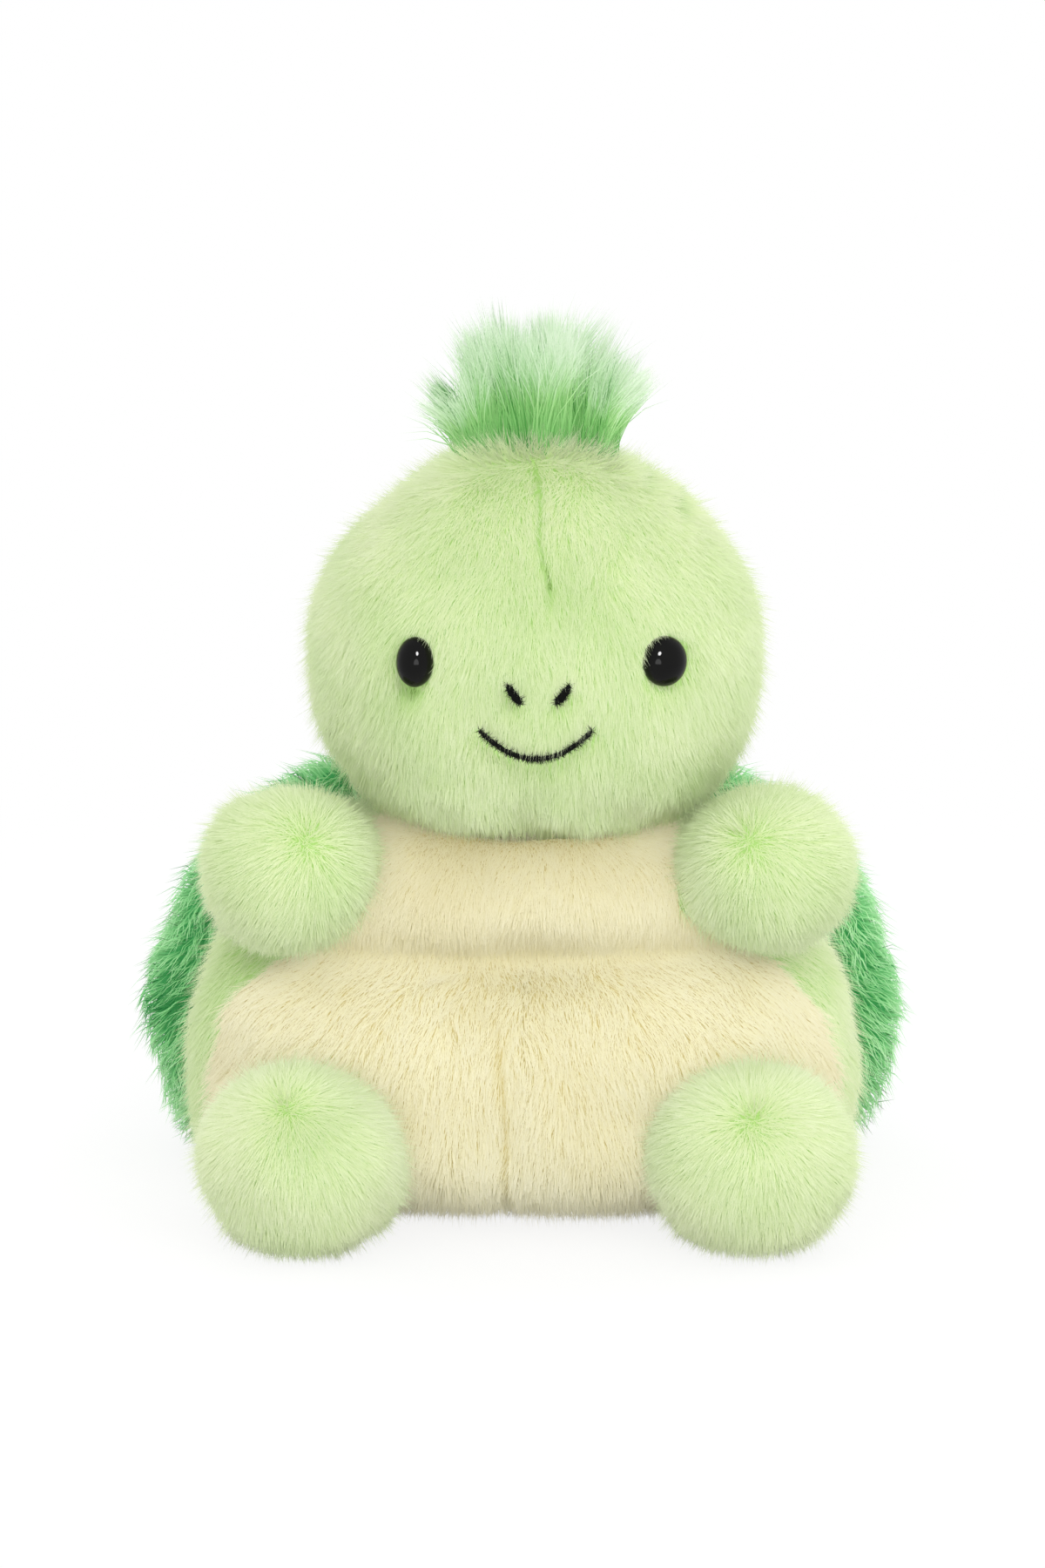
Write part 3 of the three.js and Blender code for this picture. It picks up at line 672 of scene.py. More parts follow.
def lock_middle(points, size, salt):
    """For each place, the nearest of the seeded lock middles, of which each cube of the given size holds
    one."""
    home = np.floor(points / size).astype(np.int64)
    best = np.full(len(points), np.inf)
    middle = points.copy()
    chance = np.zeros(len(points))
    for i in range(27):
        cell = home + np.array([i // 9 - 1, i // 3 % 3 - 1, i % 3 - 1])
        random = cell_random(cell, salt)
        spot = (cell + random) * size
        distance = ((spot - points) ** 2).sum(axis=1)
        nearer = distance < best
        best[nearer] = distance[nearer]
        middle[nearer] = spot[nearer]
        chance[nearer] = random[nearer, 0]
    return middle, chance


def strands(name, line, radius, tint, facing, soft_share):
    """Closed three-sided hairs. A ring of three vertices sits round each station of a hair's line but the last,
    drawn in towards the tip, which is one vertex. Shading normals lean from the hair's own side to the skin's
    normal. Hairs let light through, so they cast no shadow."""
    count, stations = line.shape[:2]
    run = unit(np.gradient(line, axis=1))[:, :-1]
    side = unit(np.cross(run, facing[:, None]))
    rise = np.cross(side, run)
    angle = 2 * math.pi / 3 * np.arange(3) + math.pi / 2
    taper = (1 - np.arange(stations - 1) / (stations - 1)) ** HAIR_TAPER
    out = np.cos(angle)[:, None] * side[:, :, None] + np.sin(angle)[:, None] * rise[:, :, None]
    ring = line[:, :-1, None] + out * (radius[:, None] * taper)[:, :, None, None]
    per = 3 * (stations - 1) + 1
    vertices = np.concatenate([ring.reshape(count, per - 1, 3), line[:, -1:]], axis=1)
    own = np.concatenate([out.reshape(count, per - 1, 3), rise[:, -1:]], axis=1)
    soft = unit(own * (1 - soft_share) + facing[:, None] * soft_share)
    faces = [(0, 1, 2)]
    for level in range(stations - 2):
        for a, b in ((0, 1), (1, 2), (2, 0)):
            a, b = 3 * level + a, 3 * level + b
            faces += [(b, a, a + 3), (b, a + 3, b + 3)]
    top = 3 * (stations - 2)
    faces += [(top + b, top + a, per - 1) for a, b in ((0, 1), (1, 2), (2, 0))]
    faces = (np.arange(count)[:, None, None] * per + np.array(faces)).reshape(-1, 3)
    # On the map a hair is an upright strip at its tint, with one root corner raised so that no face is flat
    column = np.tile([0.0, 1.0, 0.5], stations - 1)
    u = np.append(column, 0.5) * HAIR_MAP + 0.01 + 0.96 * tint[:, None]
    v = np.append(np.repeat(np.arange(stations - 1), 3) / (stations - 1), 1.0)
    v[1] += 0.02
    uv = np.stack([u, np.tile(0.005 + 0.99 * v, (count, 1))], axis=2).reshape(-1, 2)
    piece = mesh_of(name, vertices.reshape(-1, 3), faces, uv[faces.ravel()], soft.reshape(-1, 3))
    piece.visible_shadow = False
    return piece


def grow(name, roots, normals, flow, pile, rng, long_share=1.0, tint=MAIN_TINT, tint_spread=0.12):
    """Fur on the given roots. A hair leaves the skin at its root's lean and bends to its tip's lean, towards
    the flow turned by a swirl and a stray angle; its tip is drawn towards the middle of its lock, and it may
    wave sideways. Where the flow points straight off the skin hairs lean less and stray more, and a loose
    share of all hairs is longer and stands up."""
    count = len(roots)
    salt = int(rng.integers(1, 1000))
    level = flow - (flow * normals).sum(axis=1, keepdims=True) * normals
    share = np.linalg.norm(level, axis=1) / np.maximum(np.linalg.norm(flow, axis=1), 1e-9)
    hold = np.clip(share / FULL_HOLD, LEAST_HOLD, 1)
    loose = rng.random(count) < pile.loose
    along = unit(level)
    across = np.cross(normals, along)
    stray = rng.normal(0, pile.stray, count) * (1 + STRAY_UNHELD * (1 - hold))
    turn = np.radians(pile.swirl * ripple(roots, SWIRL_SIZE, salt) + stray)[:, None]
    along = along * np.cos(turn) + across * np.sin(turn)
    across = np.cross(normals, along)
    middle, chance = lock_middle(roots, pile.lock, salt)
    length = pile.length * long_share * (1 + pile.uneven * rng.uniform(-1, 0.6, count)) * (0.9 + 0.2 * chance)
    length = length * (1 + LOOSE_LONGER * loose)
    steps = pile.stations - 1
    lean = np.linspace(pile.root_lean, pile.tip_lean, steps) * hold[:, None] - (pile.loose_rise * loose)[:, None]
    lean = np.radians(lean + rng.normal(0, LEAN_SPREAD, (count, 1)))
    step = np.cos(lean)[..., None] * normals[:, None] + np.sin(lean)[..., None] * along[:, None]
    line = np.cumsum(step * (length / steps)[:, None, None], axis=1)
    t = np.arange(1, steps + 1) / steps
    pull = middle - roots
    pull -= (pull * normals).sum(axis=1, keepdims=True) * normals
    line += pull[:, None] * (pile.gather * t ** GATHER_POWER)[:, None]
    if pile.wave:
        phase = 2 * math.pi * (t + chance[:, None])
        line += across[:, None] * (pile.wave * np.sin(phase) * t)[..., None]
    line = np.concatenate([np.zeros((count, 1, 3)), line], axis=1) + roots[:, None]
    line[..., 2] = np.maximum(line[..., 2], FLOOR_GAP)
    radius = pile.radius * rng.uniform(0.75, 1.15, count) * (1 - LOOSE_THINNER * loose)
    change = 0.9 * ripple(roots, TINT_CLOUD_SIZE, salt + 1) + 0.7 * (chance - 0.5) + rng.normal(0, 0.4, count)
    return strands(name, line, radius, np.clip(tint + tint_spread * change, 0, 1), normals, pile.facing)


def mixed_flow(*parts):
    """A flow made of fixed directions and of directions that depend on place, each with its share."""
    def flow(points):
        total = np.zeros_like(points)
        for share, way in parts:
            total += share * (way(points) if callable(way) else np.asarray(way, float))
        return total
    return flow


def away_from(centre):
    """Directions that point away from a place, level with the skin once they are laid on it."""
    centre = np.asarray(centre, float)
    return lambda points: unit(points - centre)


# Finishes
PALE_BACKING = backing_finish("pale_backing", "b4d688", "a2c974")
CREAM_BACKING = backing_finish("cream_backing", "d6c88f", "c3b47c")
SHELL_BACKING = backing_finish("shell_backing", "459c58", "358a4a")
LINING = backing_finish("lining_cloth", "5d9c66", "4b8a56")
STUFFING = backing_finish("stuffing", "f6f4ee", "dedbd2", 500.0)
POUCH = backing_finish("pouch_cloth", "efece2", "d9d5c8", 1500.0)
# Pile colours: a deep colour, painted shade for creases and seams, then a dark and a light shade that each run
# from a darker root, painted shade deep in the pile, to a paler tip, painted light on the fringe
PALE_PILE = pile_finish("pale_pile", "7d9f50", ("a9cc7c", "b2d288", "c2dc9c"), ("d1e7a6", "dceab5", "edf4d4"))
CREAM_PILE = pile_finish("cream_pile", "a9975f", ("d5c995", "dbd1a1", "e3dab0"), ("ede7bd", "f3eecb", "f8f5de"))
SHELL_PILE = pile_finish(
    "shell_pile", "2f8546", ("44a259", "72c278", "a0dc9e"), ("72c87c", "aee6a8", "d8f4d0"), turn=0.5)
TUFT_PILE = pile_finish(
    "tuft_pile", "3d8239", ("53994b", "74b463", "bfdfb2"), ("72bb64", "a9d391", "f6faf2"), turn=0.5)
EYE_PLASTIC = clouded_finish("eye_plastic", "020202", "080807", 300.0, 2.0, Roughness=0.06,
                             Specular_IOR_Level=0.15)
THREAD = clouded_finish("black_thread", "060706", "171916", 2500.0, 2.0, Roughness=0.8, Specular_IOR_Level=0.1)
PELLET = clouded_finish("bean_pellets", "d3d8dc", "eef1f3", 700.0, 1.0, Roughness=0.35, Specular_IOR_Level=0.5)
WASHER = clouded_finish("washer_plastic", "dfe0dc", "f1f1ee", 900.0, 2.0, Roughness=0.4, Specular_IOR_Level=0.4)


def fine_rows(table, steps):
    """A table's rows, with the given number of steps from each to the next."""
    return between(table, np.arange((len(table) - 1) * steps + 1) / steps)


def torso_points(inset, floor):
    """The torso as a grid. Its rows follow the profile, and its columns are spread so that one lies on each
    edge of the cream cloth and one on the middle of the front."""
    rows = fine_rows(TORSO_SHARES, TORSO_STEPS)
    height = floor + rows[:, 0] * (TORSO_HEIGHT - floor - inset)
    sizes = rows[:, 1:] * (np.array([TORSO_HALF_WIDTH, BELLY_REACH, BACK_REACH]) - inset)
    zero = np.zeros_like(height)
    rings = capped(np.stack([zero, zero, height, *sizes.T], axis=1), BASE_ROWS, TOP_ROWS)
    cream = np.array(CREAM_SHARES)
    edge = np.interp(rings[:, 2] / TORSO_HEIGHT, cream[:, 1], cream[:, 0]) * TORSO_HALF_WIDTH
    share = np.clip(edge / np.maximum(rings[:, 3], 1e-9), 0, 0.985)
    half = math.pi / 2 - np.arccos(share ** (TORSO_POWER / 2))
    stops = np.stack([
        np.full_like(half, -1.5 * math.pi), -0.5 * math.pi - half, np.full_like(half, -0.5 * math.pi),
        -0.5 * math.pi + half, np.full_like(half, 0.5 * math.pi),
    ], axis=1)
    angle = np.hstack([
        stops[:, i:i + 1] + (stops[:, i + 1:i + 2] - stops[:, i:i + 1]) * np.linspace(0, 1, n, endpoint=False)
        for i, n in enumerate(TORSO_COLUMNS)
    ] + [stops[:, 4:5]])
    return ring_grid(rings, TORSO_POWER, angle)


def fold_line(x):
    """Height of the fold between chest and belly across the front."""
    return FOLD_HEIGHT + 0.5 * MM * np.sin(x / (11 * MM) + 0.6) - 0.4 * MM


def seam_line(z):
    """Place across of the seam between the two belly panels."""
    return -2.6 * MM + 0.6 * MM * np.sin(z / (7 * MM))


def seam_share(z):
    """How open the belly seam is at a height: closed near the fold and at the foot, open between them."""
    return np.clip((FOLD_HEIGHT - 6 * MM - z) / (8 * MM), 0, 1) * np.clip((z - 2 * MM) / (3 * MM), 0, 1)


def torso_length(points):
    """Fur is short along the belly seam."""
    x, z = points[:, 0], points[:, 2]
    return np.clip(1 - 0.6 * bump(x - seam_line(z), 0.3 * MM) * seam_share(z), 0.2, 1)


def torso_painted_shading(points):
    """Fur's tint, painted with light and shade: painted shade in the belly seam, in the fold and on the chest
    under the head, and painted light on the belly's top and low on the belly.
    """
    x, z = points[:, 0], points[:, 2]
    seam = bump(x - seam_line(z), 0.5 * MM) * seam_share(z)
    fold = bump(z - fold_line(x) - 0.6 * MM, 2.6 * MM) * bump(x, FOLD_REACH)
    # Painted light on the belly's top and low on the belly; painted shadow of the head on the chest; painted
    # shade in the seam and the fold
    pale = 0.16 * bump(z - 32 * MM, 6 * MM) + 0.45 * bump(z - 3 * MM, 7 * MM)
    return MAIN_TINT + pale - 0.14 * (z > FOLD_HEIGHT) - 0.45 * seam - 0.3 * fold


def parted(points, line):
    """Directions away from a line that runs down the front, strong beside it and gone a few millimetres off."""
    off = points[:, 0] - line
    return np.stack([np.sign(off) * bump(off, 1.4 * MM), 0 * off, 0 * off], axis=1)


def dressed_torso(inset, floor):
    """The torso with its fold, creases, soft lumps and seam groove, dented at the top by the head, and the
    normals that its fur follows, which leave out the narrow groove."""
    points = torso_points(inset, floor)
    normals = normals_of(points)
    x, y, z = np.moveaxis(points, 2, 0)
    front = np.clip(-y / (12 * MM), 0, 1)
    fold = bump(z - fold_line(x), 3.2 * MM) * bump(x, FOLD_REACH) * FOLD_DEPTH
    dip = bump(x - seam_line(z), 4 * MM) * 0.4 * MM
    across, up = x - CREASE_MIDDLE[0], z - CREASE_MIDDLE[1]
    away = np.hypot(across, up)
    fan = np.clip(1 - away / CREASE_LENGTH, 0, 1) * np.clip(away / (5 * MM), 0, 1) * (x < 0) * (z < FOLD_HEIGHT)
    creases = CREASE_DEPTH * fan * np.sin(np.arctan2(up, -across) * CREASES_ROUND + 1)
    lumps = 0.35 * MM * ripple(points, 16 * MM, 3) * np.clip(z / (6 * MM), 0, 1)
    points = points + normals * (lumps + creases - front * (fold + dip))[..., None]
    points = clear_of_head(points, inset - PILE_DEPTH - SEAT_TOUCH)
    normals = normals_of(points)
    groove = front * bump(x - seam_line(z), 0.4 * MM) * 0.4 * MM * seam_share(z)
    return points - normals * groove[..., None], normals


def make_torso():
    """The torso's sewn panels, each walled between the same cells of the outer and the inner grid; returns
    the outer grid and the normals that its fur follows."""
    outer, normals = dressed_torso(PILE_DEPTH, SEAT_PILE_DEPTH)
    inner, _ = dressed_torso(PILE_DEPTH + BACKING, SEAT_PILE_DEPTH + BACKING)
    cream, green = ("cream_plush", CREAM_BACKING), ("pale_green_plush", PALE_BACKING)
    for name, rows, columns, (slot, material), nodes in (
            ("chest_plush", CHEST_ROWS, FRONT, cream, ["chest_panel"]),
            ("belly_plush_left", (BASE_ROWS, FOLD + 1), FRONT_LEFT, cream, ["belly_panel_left"]),
            ("belly_plush_right", (BASE_ROWS, FOLD + 1), FRONT_RIGHT, cream, ["belly_panel_right"]),
            ("back_plush_left", (BASE_ROWS, None), BACK_LEFT, green, ["back_skin"]),
            ("back_plush_right", (BASE_ROWS, None), BACK_RIGHT, green, []),
            ("base_plush", (0, BASE_ROWS + 1), (0, LAST + 1), green, ["base_panel"])):
        part = (slice(*rows), slice(*columns))
        carry(walled(name, outer[part], inner[part]), "torso", material, nodes)
    return outer, normals


def pile_patch(name, body, skin, rows, columns, count, seed, flow, pile, material, slot, keep=None, **looks):
    """Fur over some cells of a skin, which is an outer grid and the normals that fur follows on it."""
    rng = np.random.default_rng([SEED, seed])
    outer, normals = (grid[slice(*rows), slice(*columns)] for grid in skin)
    roots, ways = scatter(outer, normals, count, rng, keep)
    shares = {key: value(roots) if callable(value) else value for key, value in looks.items()}
    carry(grow(name, roots, ways, flow(roots), pile, rng, **shares), body, material)


def beside_seam(points):
    """Directions away from the seam between the belly panels, where it is open."""
    return parted(points, seam_line(points[:, 2])) * seam_share(points[:, 2])[:, None]


def fur_torso(*skin):
    """Fur on the torso: it falls, and spreads a little from the chin and from the middle of the belly. On the
    underside it stops two rows in from the foot's edge."""
    chest_flow = mixed_flow((1.0, (0, -0.6, -1)), (0.3, away_from((4 * MM, 0, 74 * MM))))
    belly_flow = mixed_flow((1.0, (0, 0, -1)), (0.45, away_from((-2 * MM, -14 * MM, 47 * MM))),
                            (0.25, beside_seam))
    back_flow = mixed_flow((1.0, (0, 0, -1)), (0.3, (0, -1, 0)))
    cream = dict(pile=PLUSH, material=CREAM_PILE, slot="cream_plush", long_share=torso_length, tint=torso_painted_shading)
    green = dict(pile=PLUSH, material=PALE_PILE, slot="pale_green_plush", keep=uncovered, flow=back_flow)
    foot = BASE_ROWS - 2
    pile_patch("chest_pile", "torso", skin, CHEST_ROWS, FRONT, HAIRS["chest"], 11, chest_flow, keep=below_chin,
               **cream)
    for side, columns, seed in (("left", FRONT_LEFT, 12), ("right", FRONT_RIGHT, 13)):
        pile_patch("belly_pile_" + side, "torso", skin, (foot, FOLD + 1), columns, HAIRS["belly"], seed,
                   belly_flow, **cream)
    # The left back's fur is tinted darker, painted shade, and the right back's paler, painted light from the
    # lamps on the right
    for side, columns, seed, tint in (("left", BACK_LEFT, 14, 0.58), ("right", BACK_RIGHT, 15, 0.85)):
        pile_patch("back_pile_" + side, "torso", skin, (foot, -TOP_ROWS), columns, HAIRS["back"], seed,
                   tint=tint, **green)


def below_chin(points):
    """Nearly nothing grows where the head rests on the chest."""
    return head_gauge(points, HEAD_HALF + SEAT_ROOM - SEAT_TOUCH) > 1.003


def uncovered(points):
    """Where the torso shows: not under the shell, nor where the head rests."""
    return below_chin(points) & ((points[..., 1] < SHELL_RIM_Y) | (points[..., 2] < 4 * MM))


def head_points(inset):
    """The head as a grid of level rings: a ring's size is the root of one less the power of its height, with
    a power of its own for the upper and for the lower half, and round the ring runs the plan's power."""
    levels, columns = HEAD_GRID
    rise = -np.cos(np.linspace(0, math.pi, levels))
    power = np.where(rise > 0, HEAD_UPPER_POWER, HEAD_LOWER_POWER)
    share = np.maximum(1 - np.abs(rise) ** power, 0) ** (1 / power)
    half = HEAD_HALF - inset
    angle = np.linspace(0, 2 * math.pi, columns)
    across = signed_power(np.cos(angle), 2 / HEAD_PLAN_POWER)
    along = signed_power(np.sin(angle), 2 / HEAD_PLAN_POWER)
    grid = np.stack([share[:, None] * across, share[:, None] * along, rise[:, None] + 0 * across], axis=2) * half
    return grid + HEAD_CENTRE


def face_y(across, rise, half):
    """Y of the head's front at a place across and up from its centre."""
    power = np.where(rise > 0, HEAD_UPPER_POWER, HEAD_LOWER_POWER)
    share = np.maximum(1 - np.abs(rise / half[2]) ** power, 0) ** (1 / power)
    spread = np.abs(across / (share * half[0])) ** HEAD_PLAN_POWER
    return -share * half[1] * np.maximum(1 - spread, 0) ** (1 / HEAD_PLAN_POWER)


def on_face(across, rise, lift):
    """Points of the head's front, raised along the outward normal, and those normals."""
    across, rise = np.broadcast_arrays(np.asarray(across, float), np.asarray(rise, float))
    probe = 0.3 * MM

    def at(a, r):
        return np.stack([a, face_y(a, r, HEAD_HALF), r], axis=-1)

    normal = unit(np.cross(at(across + probe, rise) - at(across - probe, rise),
                           at(across, rise + probe) - at(across, rise - probe)))
    return at(across, rise) + HEAD_CENTRE + normal * lift, normal


def mouth_rise(across):
    """Height of the mouth's line under the head's centre: a parabola that sags in the middle."""
    return -MOUTH_DROP - MOUTH_SAG * (1 - (across / MOUTH_HALF_WIDTH) ** 2)


def face_presence(points):
    """How near each place is to the eyes, the mouth and the nostrils, from 0 to 1 each."""
    x, rise = points[..., 0] - HEAD_CENTRE[0], points[..., 2] - HEAD_CENTRE[2]
    front = points[..., 1] < -10 * MM
    eyes = [bump(np.hypot(x - EYE_SHIFT - side * EYE_SPACING / 2, (rise - EYE_RISE) / 1.15), 4.2 * MM) * front
            for side in (-1, 1)]
    within = np.clip(x, -MOUTH_HALF_WIDTH, MOUTH_HALF_WIDTH)
    mouth = np.hypot(x - within, rise - mouth_rise(within)) + 0 * x
    nostrils = []
    for side in (-1, 1):
        a, b = x - NOSTRIL_SHIFT - side * NOSTRIL_SPACING / 2, rise + NOSTRIL_DROP
        c, s = math.cos(side * NOSTRIL_TURN), math.sin(side * NOSTRIL_TURN)
        long, wide = b * c + a * s, a * c - b * s
        nostrils.append(np.hypot(wide, np.maximum(np.abs(long) - 1.0 * MM, 0)))
    return eyes, np.where(front, mouth, 1.0), np.where(front, np.minimum(*nostrils), 1.0)


def dart_line(rise):
    """Place across, from the head's middle, of the seam that runs down the forehead."""
    slant = 2.0 * MM * np.clip((27 * MM - rise) / (17 * MM), 0, 1)
    return -0.3 * MM + slant + 0.35 * MM * np.sin(rise / (1.6 * MM))


def dart_share(rise):
    """How open the forehead's seam is at a height over the head's middle: closed at its two ends."""
    return np.clip((rise - 9 * MM) / (3 * MM), 0, 1) * np.clip((25.6 * MM - rise) / (1.5 * MM), 0, 1)


def near_pucker(points):
    """Nearness to the two small puckers in the right side of the brow, from 0 to 1."""
    total = 0
    places = points[..., [0, 2]]
    for start, end in PUCKERS:
        start, run = np.array(start) * MM, (np.array(end) - start) * MM
        part = np.clip(((places - start) @ run) / (run @ run), 0, 1)[..., None]
        total = total + bump(np.linalg.norm(places - start - part * run, axis=-1), PUCKER_WIDTH)
    return total * (points[..., 1] < 0)


def dressed_head(inset):
    """The head with its dart seam, puckers, eye sockets, chin dimple and soft lumps, and the normals that its
    fur follows, which leave out the narrow grooves."""
    points = head_points(inset)
    normals = normals_of(points)
    x, y, z = np.moveaxis(points - HEAD_CENTRE, 2, 0)
    front = y < 0
    open_share = dart_share(z) * front
    valley = bump(x - dart_line(z), 2.4 * MM) * open_share * 0.2 * MM
    groove = bump(x - dart_line(z), 0.4 * MM) * open_share * 0.6 * MM + near_pucker(points) * 0.7 * MM
    eyes, mouth, nostrils = face_presence(points)
    sockets = eyes[0] * 0.6 * MM + eyes[1] * 0.3 * MM
    hollow = bump(np.hypot(x + EYE_SPACING / 2 - 0.3 * MM, z - EYE_RISE + 4.4 * MM), 1.7 * MM) * front * MM
    stitch = (bump(mouth, 1.2 * MM) * 0.5 + bump(nostrils, 1.4 * MM) * 0.6) * MM
    dimple = bump(np.hypot(x + 0.6 * MM, z + 22 * MM), 2.6 * MM) * front * 0.9 * MM
    lumps = 0.35 * MM * ripple(points, 22 * MM, 5) + 0.45 * MM * ripple(points, 9 * MM, 6) * (z < -15 * MM)
    slim = 0.8 * MM * bump(z - 16 * MM, 7 * MM)
    points = points + normals * (lumps - slim - valley - sockets - dimple)[..., None]
    normals = normals_of(points)
    return points - normals * (groove + stitch + hollow)[..., None], normals


def make_head():
    """The head's back and front skins, which meet at its sides; returns the outer grid and the normals that
    its fur follows."""
    outer, normals = dressed_head(PILE_DEPTH)
    inner, _ = dressed_head(PILE_DEPTH + BACKING)
    half = outer.shape[1] // 2
    for end, columns in (("back", slice(0, half + 1)), ("front", slice(half, None))):
        carry(walled(f"head_{end}_plush", outer[:, columns], inner[:, columns]), "head",
              PALE_BACKING, ["head_" + end])
    return outer, normals


def past_eye_rims(points):
    """How far each place lies outside the nearer eye's oval, as a share of the oval's size; large on the
    back."""
    x, y, rise = np.moveaxis(points - HEAD_CENTRE, -1, 0)
    near = []
    for side, share in ((-1, LEFT_EYE_SHARE), (1, 1)):
        across = x - EYE_SHIFT - side * (EYE_SPACING / 2 - EYE_SEEN_SHIFT)
        wide = EYE_HALF_WIDTH * EYE_SEEN_SHARE * share
        near.append(np.hypot(across / wide, (rise - EYE_RISE) / EYE_HALF_HEIGHT))
    return np.where(y < 0, np.minimum(*near) - 1, 9)


def off_eyes(points):
    """No fur grows under the eyes."""
    return past_eye_rims(points) > 0.02


def under_eye(points):
    """Nearness to the shaded hollow that runs down from the left eye's outer rim, from 0 to 1."""
    x, y, rise = np.moveaxis(points - HEAD_CENTRE, -1, 0)
    across = x - EYE_SHIFT + EYE_SPACING / 2 - 0.4 * MM
    return bump(np.hypot(across / 1.2, rise - EYE_RISE + 4.0 * MM), 1.2 * MM) * (y < 0)


def round_tuft(points):
    """Nearness to the front of the tuft's strip on the crown, from 0 to 1."""
    x, y, rise = np.moveaxis(points - HEAD_CENTRE, -1, 0)
    past = np.maximum(np.abs(x - TUFT_SHIFT) - TUFT_HALF_WIDTH, 0)
    return bump(np.hypot(past, y + 4 * MM), 3.6 * MM) * (rise > 0)


def head_length(points):
    """Fur is clipped short round the eyes and under the embroidery, and long in front of the tuft."""
    _, mouth, nostrils = face_presence(points)
    clipped = 1 - 0.72 * bump(past_eye_rims(points), 0.3) - 0.86 * bump(mouth, 1.6 * MM)
    clipped = clipped - 0.8 * bump(nostrils, 1.4 * MM) + 0.4 * round_tuft(points) - 0.5 * under_eye(points)
    x, rise = points[..., 0] - HEAD_CENTRE[0], points[..., 2] - HEAD_CENTRE[2]
    parting = bump(x - dart_line(rise), 0.3 * MM) * dart_share(rise) * (points[..., 1] < 0)
    return np.clip(clipped - 0.75 * parting - 0.2 * near_pucker(points), 0.18, 1.8)


def head_painted_shading(points):
    """Fur's tint, painted with light and shade: painted shade along the dart, in the puckers and in a broad and
    a narrow hollow below the left eye, and painted light on the brow.
    """
    x, rise = points[..., 0] - HEAD_CENTRE[0], points[..., 2] - HEAD_CENTRE[2]
    # Painted shade below the left eye, along the dart and in the puckers; painted light on the brow
    hollow = bump(np.hypot(x + EYE_SPACING / 2, rise - EYE_RISE + 5 * MM), 3.5 * MM)
    parting = bump(x - dart_line(rise), 0.45 * MM) * dart_share(rise) * (points[..., 1] < 0)
    brow = bump(rise - 21 * MM, 6 * MM) * (points[..., 1] < 0)
    return (MAIN_TINT + 0.14 * brow - 0.66 * parting - 0.85 * near_pucker(points) - 0.25 * hollow
            - 0.7 * under_eye(points))


def head_fall(points):
    """On the head, fur falls in upright planes: forwards over the crown of the front cloth, backwards over the
    crown of the back cloth, then down. The two ways part a little behind the crown's middle."""
    way = unit((points - HEAD_CENTRE) / HEAD_HALF ** 2)
    sense = np.clip((points[:, 1] + HEAD_SEAM_SETBACK) / (9 * MM), -1, 1)
    down = -np.abs(sense * way[:, 1]) - 0.9 + 0.6 * np.abs(sense)
    return np.stack([0 * sense, sense * way[:, 2], down], axis=1)


def head_sides(points):
    """On the head, fur parts outwards above the face and turns in towards the chin below it, most on its
    left."""
    x, _, rise = ((points - HEAD_CENTRE) / MM).T
    outward = np.clip(x / 20, -1, 1) * np.clip(rise / 16, -1, 0.55) * np.where(x < 0, 0.5, 0.2)
    return np.stack([outward, 0 * x, 0 * x], axis=1)


def head_details(points):
    """Fur leans in over the rims of the eyes and stands up in front of the tuft."""
    x, y, rise = np.moveaxis(points - HEAD_CENTRE, -1, 0)
    total = unit(points - HEAD_CENTRE) * (2.0 * round_tuft(points))[:, None]
    for side in (-1, 1):
        offset = np.stack([EYE_SHIFT + side * EYE_SPACING / 2 - x, 0 * x, EYE_RISE - rise], axis=1)
        total += unit(offset) * (0.3 * bump(past_eye_rims(points), 0.3) * (side * x > 0))[:, None]
    return total


def beside_dart(points):
    """Directions away from the seam that runs down the forehead, above the eyes."""
    line = HEAD_CENTRE[0] + dart_line(points[:, 2] - HEAD_CENTRE[2])
    return parted(points, line) * (points[:, 2:] > HEAD_CENTRE[2] + 9 * MM)


def fur_head(*skin):
    """Fur on the head: two halves in front, and the back."""
    flow = mixed_flow((1.0, head_fall), (1.0, head_sides), (1.0, head_details), (0.14, beside_dart))
    looks = dict(flow=flow, pile=PLUSH, material=PALE_PILE, slot="pale_green_plush", long_share=head_length,
                 tint=head_painted_shading, keep=off_eyes)
    half = skin[0].shape[1] // 2
    quarter = half + half // 2
    for side, columns in (("left", (half, quarter + 1)), ("right", (quarter, 2 * half + 1))):
        pile_patch("head_front_pile_" + side, "head", skin, (None,), columns, HAIRS["head_front"], 21, **looks)
    pile_patch("head_back_pile", "head", skin, (None,), (0, half + 1), HAIRS["head_back"], 23, **looks)


def limb_place(limb, key, side):
    """One of a stub's places in the frame, from its millimetres for the right side."""
    x, y, z = limb[key]
    return np.array([side * x + limb["lean"], y, z]) * MM


def emerging(points, inset):
    """A limb's grid whose columns start where they leave the torso: each column is spread anew, with its own
    spacing, between its last crossing of the torso's surface and the limb's tip."""
    gauge = np.where(points[..., 2] < TORSO_HEIGHT, torso_gauge(points, inset), 2)
    last = len(points) - 1
    inside = gauge < 1
    inner = np.where(inside.any(axis=0), last - np.argmax(inside[::-1], axis=0), 0)
    near, far = (np.take_along_axis(gauge, row[None], 0)[0] for row in (inner, np.minimum(inner + 1, last)))
    start = inner + np.where(inside.any(axis=0), (1 - near) / np.maximum(far - near, 1e-6), 0)
    place = start + (last - start) * np.linspace(0, 1, len(points))[:, None]
    low = np.minimum(place.astype(int), last - 1)
    part = (place - low)[..., None]
    below, above = (np.take_along_axis(points, np.broadcast_to(row[..., None], points.shape), 0)
                    for row in (low, low + 1))
    return below * (1 - part) + above * part


